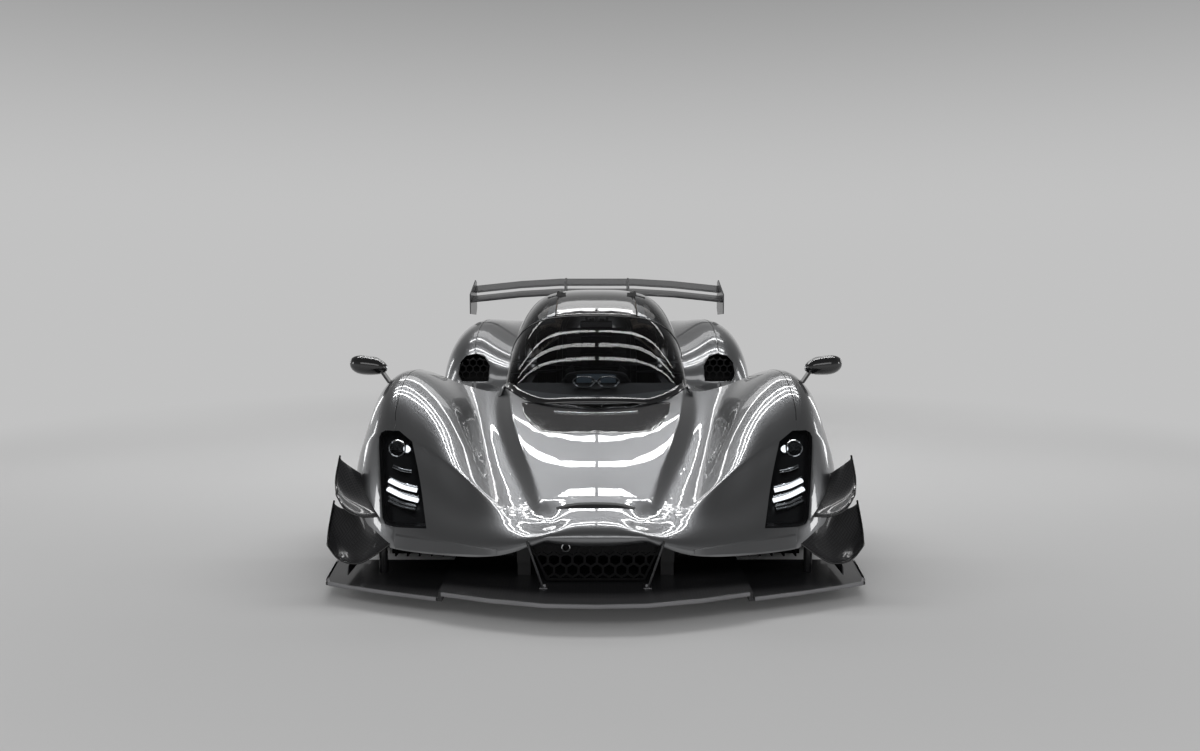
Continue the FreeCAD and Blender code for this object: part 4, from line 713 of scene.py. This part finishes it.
# Nose: round sensor under the lip, on a small foot.
sensor = Vector((-0.111, -2.13, 0.226))
sensor_body = turned([(0.03, 0.0), (0.03, 0.019), (-0.010, 0.019), (-0.014, 0.016), (-0.014, 0.012)], sensor, "Y")
sensor_foot = rounded_box((0.016, 0.02, 0.03), 0.003, sensor + Vector((0, 0.015, 0.022)))
piece("nose_sensor", joined([sensor_body, sensor_foot]), SATIN)
piece("nose_sensor_rim", turned([(-0.012, 0.012), (-0.016, 0.0135), (-0.015, 0.0165), (-0.010, 0.0185)], sensor, "Y"),
      CHROME)

# Dive planes: two curved blades on each fender, from the outer edge to the body, leading edge first.
DIVE_UPPER = (((1.022, -1.900, 0.366), (0.980, -1.945, 0.326), (0.920, -1.955, 0.300), (0.854, -1.916, 0.290)),
              ((1.040, -1.830, 0.412), (1.004, -1.855, 0.376), (0.960, -1.860, 0.352), (0.910, -1.840, 0.347)),
              ((1.042, -1.750, 0.488), (1.020, -1.760, 0.472), (0.995, -1.757, 0.452), (0.968, -1.733, 0.425)))
DIVE_LOWER = (((1.042, -1.975, 0.184), (0.990, -2.020, 0.146), (0.920, -2.036, 0.134), (0.860, -2.030, 0.160),
               (0.798, -1.994, 0.200)),
              ((1.055, -1.900, 0.222), (1.005, -1.928, 0.182), (0.955, -1.936, 0.185), (0.905, -1.928, 0.212),
               (0.866, -1.928, 0.248)),
              ((1.058, -1.800, 0.312), (1.030, -1.815, 0.300), (1.000, -1.820, 0.296), (0.968, -1.825, 0.300),
               (0.932, -1.842, 0.312)))
TURNED_UP = Vector((0.004, 0.002, 0.014))
dive, dive_rims = [], []
for grid in (DIVE_UPPER, DIVE_LOWER):
    rows = [[Vector(p) for p in row] for row in grid]
    rows = [[row[0] + TURNED_UP] + row for row in rows]
    dive.append(sheet_of(rows, 0.006))
    fine = curved(rows, 6)
    edge = [row[0] for row in reversed(fine)] + fine[0][1:]
    dive_rims.append(sweep(edge, circle(0.0042, 8), Vector((0, -0.3, 1))))
planes = piece("dive_blades", mirrored(joined(dive)), CARBON, split=30)
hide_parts("dive_planes")
piece("dive_rims", mirrored(joined(dive_rims)), BLACK)

# Splitter: a wear strip along the edges of its plates, feet of the stays and a fence under each lower blade.
splitter = Surface("splitter")


def edge_strip(rays):
    hits = [splitter.hit(start, way) for start, way in rays]
    section = [(-0.003, -0.007), (0.004, -0.007), (0.006, 0.0), (0.004, 0.007), (-0.003, 0.007)]
    return sweep([hit[0] for hit in hits if hit], section, UP)


# Middle height of the raised centre plate and of the outer plates.
CENTRE_LEVEL, OUTER_LEVEL = 0.084, 0.063
centre_edge = edge_strip([((0.02 * k, -3.5, CENTRE_LEVEL), (0, 1, 0)) for k in range(-28, 29)])
outer_edge = edge_strip([((0.02 * k, -3.5, OUTER_LEVEL), (0, 1, 0)) for k in range(29, 54)])
end_edge = edge_strip([((1.4, -2.02 + 0.02 * k, OUTER_LEVEL), (-1, 0, 0)) for k in range(14)])
piece("splitter_edge", joined([centre_edge, mirrored(joined([outer_edge, end_edge]))]), METAL)
stay_nut = turned([(0.0, 0.0), (0.0, 0.009), (0.006, 0.010), (0.012, 0.007), (0.014, 0.0)], (0.192, -2.196, 0.090),
                  "Z", 12)
stay_plate = rounded_box((0.030, 0.060, 0.004), 0.0015, (0.192, -2.186, 0.091))
piece("stay_feet", mirrored(joined([stay_nut, stay_plate])), METAL)
fence = plate_of([(-2.035, 0.088), (-1.80, 0.088), (-1.80, 0.150), (-1.90, 0.150), (-2.025, 0.118)], 0.005, "X", 0.952,
                 0.0015)
piece("splitter_fences", mirrored(fence), CARBON)

# Duct mouths under the nose: dark walls with low upright vanes.
duct_wall = plate_of([(0.300, 0.101), (0.835, 0.101), (0.835, 0.205), (0.72, 0.235), (0.300, 0.255)], 0.006, "Y",
                     -1.775)
vanes = links_pattern("duct_vanes", DARK, (0.006, 0.06, 0.078), 0.045)
vane_row = vanes.grown(wire([[(0.33, -1.80, 0.143), (0.81, -1.80, 0.143)]]))
piece("duct_mouths", mirrored(joined([duct_wall, vane_row])), DARK, smooth=False)


def shut_line(a, b, places, inner, outer):
    """A dark line along the joint between two panels, found from above at each place along the car."""
    skins = Surface(a), Surface(b)
    line = []
    for y in places:
        low, high = inner, outer
        for _ in range(14):
            middle = (low + high) / 2
            hits = [skin.from_above(middle, y) for skin in skins]
            if hits[1] and (not hits[0] or hits[1][0].z > hits[0][0].z + 0.004):
                high = middle
            else:
                low = middle
        hit = skins[0].from_above(low - 0.002, y)
        if hit:
            line.append((Vector((high, y, hit[0].z)), hit[1]))
    return swept_on(line, strip(0.0034, 0.0006, 0.004))


# Shut lines: name, inner panel, outer panel, first place along the car, count of places, outer limit across it.
for name, a, b, first, count, outer in (("front_shut_lines", "front_clam", "fender_left", -1.66, 38, 0.84),
                                        ("rear_shut_lines", "rear_deck", "haunch_left", 0.86, 64, 0.86)):
    line = shut_line(a, b, [first + 0.02 * k for k in range(count)], 0.74, outer)
    piece(name, mirrored(line), DARK)

# Lip facet: a flat band low on the nose, from under each lamp to the grille.
nose_skin = Surface("front_clam", "fender_left")


def band(top, low, proud, steps):
    """A flat band just proud of the skin between two lines of (x, z)."""
    lines = []
    for line in (top, low):
        spots = between([(x, 0, z) for x, z in line], steps)
        lines.append([nose_skin.hit((p.x, -3.4, p.z), (0, 1, 0)) for p in spots])
    out = Vector((0, -1, -0.15)).normalized()
    rows = [[], [], [], []]
    for a, b in ((first[0], second[0]) for first, second in zip(*lines) if first and second):
        corners = a + out * 0.0005, a + (b - a) * 0.12 + out * proud, b + out * proud, b + Vector((0, 0.012, -0.002))
        for row, corner in zip(rows, corners):
            row.append(corner)
    wide = len(rows[0])
    faces = [(j * wide + i, j * wide + i + 1, (j + 1) % 4 * wide + i + 1, (j + 1) % 4 * wide + i)
             for j in range(4) for i in range(wide - 1)]
    faces += [(0, wide, 2 * wide, 3 * wide), (wide - 1, 4 * wide - 1, 3 * wide - 1, 2 * wide - 1)]
    return mesh_of([p for row in rows for p in row], faces)


lip = band([(0.372, 0.214), (0.50, 0.222), (0.64, 0.231), (0.776, 0.240)],
           [(0.372, 0.196), (0.50, 0.190), (0.64, 0.188), (0.776, 0.192)], 0.006, 12)
piece("lip_bands", mirrored(lip), SILVER, split=25)

# Cowl: a slot across the panel before the windscreen, with a polished lower lip: a bright strip that is a painted
# highlight of the silver body's edge.
cowl = Surface("cowl_panel")
bow = [(x / 100, -1.262 + 0.35 * (x / 100) ** 2) for x in range(-19, 20, 2)]
# Strips of the slot: name, place ahead of the bow, width, height, material.
for name, shift, width, height, material in (("cowl_slot", 0.010, 0.020, 0.0008, DARK),
                                             ("cowl_slot_lip", -0.008, 0.015, 0.005, CHROME)):
    hits = [cowl.from_above(x, y + shift) for x, y in bow]
    piece(name, swept_on(hits, strip(width, height, 0.001)), material)

# Windscreen surround: a rounded black frame along the glass edges.
screen = Surface("windscreen")
SCREEN_MIDDLE = Vector((0, -0.72, 0))


def screen_foot(angle):
    """The lowest place of the windscreen's outside in this plan direction."""
    way = Vector((math.cos(angle), math.sin(angle), 0))
    low, high = 0.56, 0.80
    for _ in range(16):
        middle = (low + high) / 2
        hit = screen.hit(SCREEN_MIDDLE + UP * middle + way * 1.5, -way)
        if hit and (hit[0] - SCREEN_MIDDLE).dot(way) > 0.2:
            high = middle
        else:
            low = middle
    return screen.hit(SCREEN_MIDDLE + UP * (high + 0.012) + way * 1.5, -way)


def screen_head(angle):
    """The windscreen's rear edge in this direction across the car."""
    way = Vector((math.cos(angle), 0, math.sin(angle)))
    return screen.hit(Vector((0, -0.572, 0.74)) + way * 1.5, -way)


foot_line = [screen_foot(math.radians(a)) for a in range(-197, 18, 4)]
piece("windscreen_foot", swept_on(foot_line, strip(0.034, 0.006)), BLACK)
head_line = [screen_head(math.radians(a)) for a in range(-6, 187, 4)]
piece("windscreen_header", swept_on(head_line, strip(0.012, 0.004)), SATIN)

# Mirrors: glass in the rear face.
mirror_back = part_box("mirrors")[1][1]
mirror_glass = turned([(0.0, 0.0), (0.0, 0.036), (-0.003, 0.038)], (0, 0, 0), "Y")
moved(mirror_glass, (1.048, mirror_back - 0.004, 0.823), stretch=(1.7, 1, 1))
piece("mirror_glasses", mirrored(mirror_glass), MIRROR)

# Wheels: centre nut on a driving ring with pins, rim studs, tyre valve and brake caliper.
STUDS = studs_pattern(METAL)
for end, (axle, height) in AXLES.items():
    for side, hand in ((1, "left"), (-1, "right")):
        corner = f"{end}_{hand}"
        low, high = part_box("rim_" + corner)
        outer = high[0] if side > 0 else low[0]
        rim_radius = (high[2] - low[2]) / 2
        hub = Vector((outer - side * 0.045, axle, height))
        nut = turned([(0.0, 0.040), (side * 0.02, 0.038), (side * 0.034, 0.030), (side * 0.036, 0.022),
                      (side * 0.028, 0.018), (side * 0.028, 0.0)], hub, "X", 6)
        ring = turned([(-side * 0.004, 0.062), (side * 0.004, 0.062), (side * 0.008, 0.056), (side * 0.008, 0.040)],
                      hub, "X", 40)
        pins = moved(STUDS.grown(Count=10, Ring_radius=0.051), hub + Vector((side * 0.009, 0, 0)))
        studs = moved(STUDS.grown(Count=30, Ring_radius=rim_radius - 0.030, Head_radius=0.0045),
                      (outer - side * 0.016, axle, height))
        valve = turned([(0.0, 0.0045), (side * 0.028, 0.004), (side * 0.034, 0.0035), (side * 0.035, 0.0)],
                       hub + Vector((0, rim_radius - 0.045, 0)), "X", 10)
        piece("centre_nut_" + corner, joined([nut, ring, pins, studs, valve]), METAL, "wheel_" + corner)

        disc_low, disc_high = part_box("disc_" + corner)
        reach = (disc_high[2] - disc_low[2]) / 2 - 0.028
        back = 1 if end == "front" else -1
        spokes = [Vector((0, back * reach * math.cos(a), reach * math.sin(a)))
                  for a in (math.radians(degrees) for degrees in range(-38, 39, 6))]
        middle = Vector(((disc_low[0] + disc_high[0]) / 2, axle, height))
        caliper = sweep([middle + spoke for spoke in spokes],
                        [(-0.030, -0.020), (0.030, -0.020), (0.036, 0.0), (0.034, 0.034), (-0.034, 0.034),
                         (-0.036, 0.0)], spokes)
        carrier = "knuckle_" + corner if end == "front" else "chassis"
        piece("caliper_" + corner, caliper, CALIPER, carrier, split=30)

# Red marker lamps on the inner slopes of the haunches.
haunches = Surface("rear_deck", "haunch_left", "haunch_right")
marker_line = between([(0.500, 1.33, 0), (0.515, 1.30, 0), (0.530, 1.27, 0)], 8)
marker = swept_on([haunches.from_above(p.x, p.y) for p in marker_line], strip(0.008, 0.006))
piece("marker_lamps", mirrored(marker), RED_GLOW)

# Tail: slats with fine bars, rain lamp, lines of light and pipe tips.
TAIL_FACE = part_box("tail_panel")[1][1]
slats = [rounded_box((1.66 if row else 1.58, 0.012, 0.012), 0.004, (0, TAIL_FACE + 0.012, 0.40 + row * 0.062), 2)
         for row in range(5)]
tail_bars = links_pattern("tail_bars", SATIN, (0.005, 0.012, 0.27), 0.022)
for side in (-1, 1):
    slats.append(tail_bars.grown(wire([[(side * x, TAIL_FACE + 0.006, 0.522) for x in (0.17, 0.82)]])))
piece("tail_slats", joined(slats), SATIN)
piece("rain_lamp", rounded_box((0.16, 0.02, 0.035), 0.008, (0, TAIL_FACE + 0.012, 0.43)), RED_GLOW)
lit_line = between([(x, TAIL_FACE + 0.026, z) for x, z in ((0.345, 0.770), (0.6, 0.765), (0.845, 0.757))], 6)
piece("tail_lamp_lines", mirrored(sweep(lit_line, strip(0.010, 0.004), Vector((0, 1, 0)))), RED_GLOW)
pipe_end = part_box("exhaust_pipes")[1][1]
tips = [turned([(-0.03, 0.0625), (0.0, 0.066), (0.012, 0.069), (0.016, 0.066), (0.014, 0.061), (-0.04, 0.0575)],
               (x, pipe_end - 0.02, 0.600), "Y") for x in (-0.085, 0.085)]
piece("exhaust_tips", joined(tips), TITANIUM)

# Engine cover: louvre blades across its spine.
spine = Surface("engine_cover")
blades = []
for k in range(6):
    y, wide = 0.62 + 0.13 * k, 0.20 - 0.018 * k
    hits = [spine.from_above(wide * t / 6, y - 0.03 * (1 - (t / 6) ** 2)) for t in range(-6, 7)]
    raised = [(hit[0] + Vector((0, 0, 0.004)), hit[1]) for hit in hits if hit]
    blades.append(swept_on(raised, [(-0.022, -0.004), (-0.022, 0.002), (0.020, 0.016), (0.024, 0.014),
                                    (0.024, 0.008)]))
piece("cover_louvres", joined(blades), CARBON, "cover")

# Engine under the cover: block, heads with bolts, plenum, headers and pulleys in the plain block's place.
ENGINE_MIDDLE = 1.31
CYLINDER_PLACES = [1.12 + 0.095 * k for k in range(5)]
engine = [rounded_box((0.30, 0.56, 0.23), 0.02, (0, ENGINE_MIDDLE, 0.225))]
plenum = [rounded_box((0.17, 0.47, 0.060), 0.026, (0, ENGINE_MIDDLE, 0.488), 4)]
bolt_lines, headers = [], []
for side in (-1, 1):
    seat, lean = (side * 0.135, ENGINE_MIDDLE, 0.385), turn_about("Y", side * 38)
    engine.append(rounded_box((0.13, 0.53, 0.115), 0.022, seat, turn=lean))
    bolt_lines += [[Vector(seat) + lean @ Vector((across, end, 0.060)) for end in (-0.24, 0.24)]
                   for across in (-0.045, 0.045)]
    for y in CYLINDER_PLACES:
        runner = between([(side * 0.070, y, 0.490), (side * 0.105, y, 0.478), (side * 0.125, y, 0.450)], 4)
        plenum.append(sweep(runner, circle(0.020, 14), Vector((0, 1, 0))))
        header = between([(side * 0.185, y, 0.330), (side * 0.225, y + 0.01, 0.300), (side * 0.235, y + 0.05, 0.230),
                          (side * 0.225, 1.57, 0.175)], 5)
        headers.append(sweep(header, circle(0.017, 12), UP))
bolts = links_pattern("head_bolts", METAL, (0.012, 0.012, 0.010), 0.052)
piece("engine_heads", joined(engine), CAST, split=30)
piece("engine_bolts", bolts.grown(wire(bolt_lines)), METAL, slot="engine", smooth=False)
piece("engine_plenum", joined(plenum), CARBON, split=35)
piece("engine_headers", joined(headers), TITANIUM, split=50)
pulleys = [turned([(0.0, 0.0), (0.0, 0.060), (0.008, 0.066), (0.014, 0.060), (0.020, 0.066), (0.026, 0.060),
                   (0.026, 0.0)], (0, 1.003, 0.22), "Y", 40),
           turned([(0.0, 0.0), (0.0, 0.032), (0.008, 0.036), (0.014, 0.032), (0.020, 0.036), (0.026, 0.0)],
                  (0.10, 1.003, 0.33), "Y", 32)]
pulley = piece("engine_pulleys", joined(pulleys), METAL, slot="engine")
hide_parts("engine_block")

# Sides: sill blade along the floor.
sill = plate_of([(0.86, -0.86), (0.905, -0.80), (0.915, 0.60), (0.945, 0.86), (0.86, 0.86)], 0.010, "Z", 0.106, 0.003)
piece("sill_blades", mirrored(sill), CARBON)

# Cabin: binnacle with two dials, lit screen, inner mirror and roll hoop.
arch = between([(-0.17, -0.74, 0.700), (-0.13, -0.74, 0.738), (0, -0.74, 0.748), (0.13, -0.74, 0.738),
                (0.17, -0.74, 0.700)], 6)
hood = sweep(arch, [(-0.05, -0.004), (-0.05, 0.004), (0.05, 0.007), (0.055, 0.0), (0.05, -0.004)],
             [Vector((p.x, 0, p.z - 0.60)) for p in arch])
piece("instrument_hood", hood, SATIN)
piece("instrument_screen", rounded_box((0.20, 0.008, 0.046), 0.003, (0, -0.70, 0.712)), SCREEN_GLOW)
dial = turned([(0.006, 0.048), (-0.006, 0.050), (-0.010, 0.046), (-0.008, 0.040), (0.006, 0.038)], (0, 0, 0), "Y", 40)
moved(dial, (0.060, -0.865, 0.712), stretch=(1.15, 1, 0.62))
bridge = rounded_box((0.05, 0.010, 0.014), 0.004, (0, -0.865, 0.712))
piece("dial_rims", joined([mirrored(dial), bridge]), CHROME)
piece("cabin_mirror", joined([rounded_box((0.17, 0.022, 0.042), 0.010, (0, -0.50, 0.975)),
                              rounded_box((0.014, 0.014, 0.07), 0.004, (0, -0.49, 1.02))]), BLACK, slot="satin_black")
hoop = between([(-0.235, 0.47, 0.50), (-0.225, 0.47, 0.80), (-0.17, 0.47, 0.985), (0, 0.47, 1.03), (0.17, 0.47, 0.985),
                (0.225, 0.47, 0.80), (0.235, 0.47, 0.50)], 8)
piece("roll_hoop", sweep(hoop, circle(0.017, 12), Vector((0, 1, 0))), SATIN)


def shell(path, rise):
    """A seat shell: a thin U section along a path of (y, z) in the car's middle plane."""
    half, wall = 0.212, 0.006
    points = between([(0, y, z) for y, z in path], 8)
    ups = []
    for before, after in zip(points[:1] + points[:-1], points[1:] + points[-1:]):
        ahead = (after - before).normalized()
        ups.append(Vector((0, -ahead.z, ahead.y)))
    cut = 0.3 * rise
    right = [(half - cut, 0.0), (half, cut), (half, rise), (half - wall, rise), (half - wall, cut + wall),
             (half - cut - wall, wall)]
    return sweep(points, right + [(-x, z) for x, z in reversed(right)], ups)


def cushion(wide, long, thick):
    """A crowned closed form, sides drawn in between its corners, flat below."""
    cells, crown, pinch = 10, 0.45, 0.05
    spots = [2 * i / cells - 1 for i in range(cells + 1)]
    low, top = [], []
    for v in spots:
        places = [(u, u * wide / 2 * (1 - pinch * (1 - v * v) * abs(u) ** 3),
                   v * long / 2 * (1 - pinch * (1 - u * u) * abs(v) ** 3)) for u in spots]
        low.append([(x, y, -thick * 0.35) for _, x, y in places])
        top.append([(x, y, thick * (0.35 + crown * ((1 - abs(u) ** 4) * (1 - abs(v) ** 4)))) for u, x, y in places])
    return closed_sheet(low, top, rising=True)


STITCHES = links_pattern("stitch_row", THREAD, (0.006, 0.0018, 0.0018), 0.010)


def pad(name, node, size, place, tilt, cap=0.010):
    """A stuffed seat pad in its place, with two stitched seams across it."""
    wide, long, _ = size
    data = stuffed(cushion(*size), 0.006, cap)
    top = ray_tree(data)
    seat_place = Matrix.Translation(place) @ turn_about("X", tilt)
    rows = []
    for v in (-0.22, 0.22):
        row = [top.ray_cast(Vector((wide * (0.42 * u / 10), v * long, 1)), -UP)[0] for u in range(-10, 11)]
        rows.append([seat_place @ (p + Vector((0, 0, 0.0004))) for p in row if p])
    data.transform(seat_place)
    obj = piece(name, data, CLOTH, split=80)
    finer = obj.modifiers.new("finer", "SUBSURF")
    finer.levels = finer.render_levels = 1
    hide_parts(node)
    piece(name + "_stitches", STITCHES.grown(wire(rows)), CLOTH, smooth=False)


front_shell = shell([(-0.395, 0.230), (-0.34, 0.165), (-0.05, 0.150), (0.11, 0.175), (0.215, 0.33), (0.305, 0.56),
                     (0.372, 0.76), (0.398, 0.91)], 0.085)
rear_shell = shell([(0.505, 0.215), (0.54, 0.160), (0.72, 0.150), (0.83, 0.185), (0.885, 0.36), (0.918, 0.55),
                    (0.932, 0.69)], 0.060)
piece("seat_shells", joined([front_shell, rear_shell]), CARBON, split=25)
pad("front_seat_base", "seat_front", (0.33, 0.40, 0.075), (0, -0.165, 0.205), -2)
pad("front_seat_lumbar", "seat_front", (0.33, 0.26, 0.065), (0, 0.165, 0.345), 61)
pad("front_seat_back", "seat_front", (0.33, 0.24, 0.060), (0, 0.262, 0.585), 67)
pad("front_seat_head", "seat_front", (0.21, 0.15, 0.055), (0, 0.338, 0.820), 73, 0.007)
pad("rear_seat_base", "seat_rear", (0.33, 0.24, 0.070), (0, 0.655, 0.200), -2)
pad("rear_seat_back", "seat_rear", (0.33, 0.32, 0.055), (0, 0.860, 0.470), 76)

# Belts over the front seat, joined at a buckle.
belt_line = between([(0.075, 0.350, 0.735), (0.073, 0.255, 0.700), (0.066, 0.205, 0.585), (0.058, 0.115, 0.420),
                     (0.030, 0.020, 0.292)], 10)
belt = sweep(belt_line, [(-0.0225, 0.0), (-0.0225, 0.0018), (0.0225, 0.0018), (0.0225, 0.0)], Vector((0, -0.9, 0.45)))
piece("belts", mirrored(belt), WEBBING)
buckle = turned([(0.0, 0.0), (0.0, 0.020), (0.006, 0.022), (0.012, 0.018), (0.014, 0.0)], (0, 0, 0), "Z", 24)
piece("belt_buckle", moved(buckle, (0, 0.005, 0.288), turn_about("X", 35)), METAL)


# Stage, light and camera
HORIZON = 0.54
CEILING, COLUMN, WALL, END = 3.6, 1.118, 4.2, 6.0
LENS_LENGTH, SENSOR_WIDTH = 30.84, 36.0
CAMERA_PLACE, CAMERA_PITCH, CAMERA_TURN = (0.01, -5.90, 1.25), -5.75, -0.1


def grey(tone):
    return (tone, tone, tone)


def stage_floor():
    """A pale floor round the car that runs into the backdrop's tone further out."""
    bpy.ops.mesh.primitive_plane_add(size=120, location=(0, 0, 0))
    floor = bpy.context.object
    floor.name = "floor"
    g = Graph("pale_floor")
    g.feed("Base Color", g.ramp(g.noise(0.6), [(0.0, grey(0.77)), (1.0, grey(0.80))]))
    g.set(Roughness=0.7)
    place = g.add("ShaderNodeSeparateXYZ", Vector=g.place()).outputs
    square = g.math("ADD", g.math("POWER", place["X"], 2.0), g.math("POWER", place["Y"], 2.0))
    reach = g.add("ShaderNodeMapRange", interpolation_type="SMOOTHSTEP", Value=g.math("SQRT", square), From_Min=1.6,
                  From_Max=5.6)
    ray = g.add("ShaderNodeLightPath").outputs
    seen = g.math("MAXIMUM", ray["Is Camera Ray"], ray["Is Glossy Ray"])
    seen = g.math("MAXIMUM", seen, ray["Is Transmission Ray"])
    tone = g.add("ShaderNodeEmission", Strength=1.0, Color=(*grey(HORIZON), 1))
    g.mixed(g.math("MULTIPLY", reach.outputs["Result"], seen), g.shader.outputs["BSDF"], tone.outputs["Emission"])
    floor.data.materials.append(g.material)


def backdrop():
    """Light grey at the horizon, darker overhead, so that polished panels keep their contrast."""
    world = bpy.data.worlds.new("studio")
    bpy.context.scene.world = world
    world.use_nodes = True
    sky = Tree(world.node_tree)
    height = sky.add("ShaderNodeSeparateXYZ", Vector=sky.add("ShaderNodeTexCoord").outputs["Generated"]).outputs["Z"]
    stops = ((0.0, HORIZON), (0.05, HORIZON), (0.40, 0.20), (1.0, 0.13))
    tone = sky.ramp(height, [(place, grey(value)) for place, value in stops], interpolation="EASE")
    background = world.node_tree.nodes["Background"]
    sky.join(tone, background.inputs["Color"])
    background.inputs["Strength"].default_value = 1.0


def area_light(name, place, aim, size, power):
    data = bpy.data.lights.new(name, "AREA")
    data.shape = "RECTANGLE"
    data.size, data.size_y = size
    data.energy = power
    light = placed(name, data)
    light.location = place
    light.rotation_euler = (Vector(aim) - Vector(place)).to_track_quat("-Z", "Y").to_euler()


stage_floor()
backdrop()
# Ceiling panels in two columns: place along the car, length along it.
for row, (y, deep) in enumerate(((0.04, 0.09), (0.48, 0.12), (1.06, 0.11), (2.9, 0.3))):
    for side in (-1, 1):
        area_light(f"ceiling_{row}_{side}", (side * COLUMN, y, CEILING), (side * COLUMN, y, 0), (2.2, deep), 12)
# Upright panels on both walls.
for side in (-1, 1):
    for row, y in enumerate((-2.4, 0.3, 3.0)):
        area_light(f"wall_{side}_{row}", (side * WALL, y, 1.7), (0, y, 0.5), (0.5, 1.2), 9)
# Wide soft panels before and behind the car: side, height, power.
for side, height, power in ((-1, 3.8, 40), (1, 5.0, 22)):
    area_light(f"end_{side}", (0, side * END, height), (0, 0, 0.4), (5.0, 1.6), power)

camera_data = bpy.data.cameras.new("camera")
camera_data.lens = LENS_LENGTH
camera_data.sensor_width = SENSOR_WIDTH
camera = placed("camera", camera_data)
camera.location = CAMERA_PLACE
camera.rotation_euler = (math.radians(90 + CAMERA_PITCH), 0, math.radians(CAMERA_TURN))
bpy.context.scene.camera = camera
bpy.context.scene.view_settings.view_transform = "Standard"
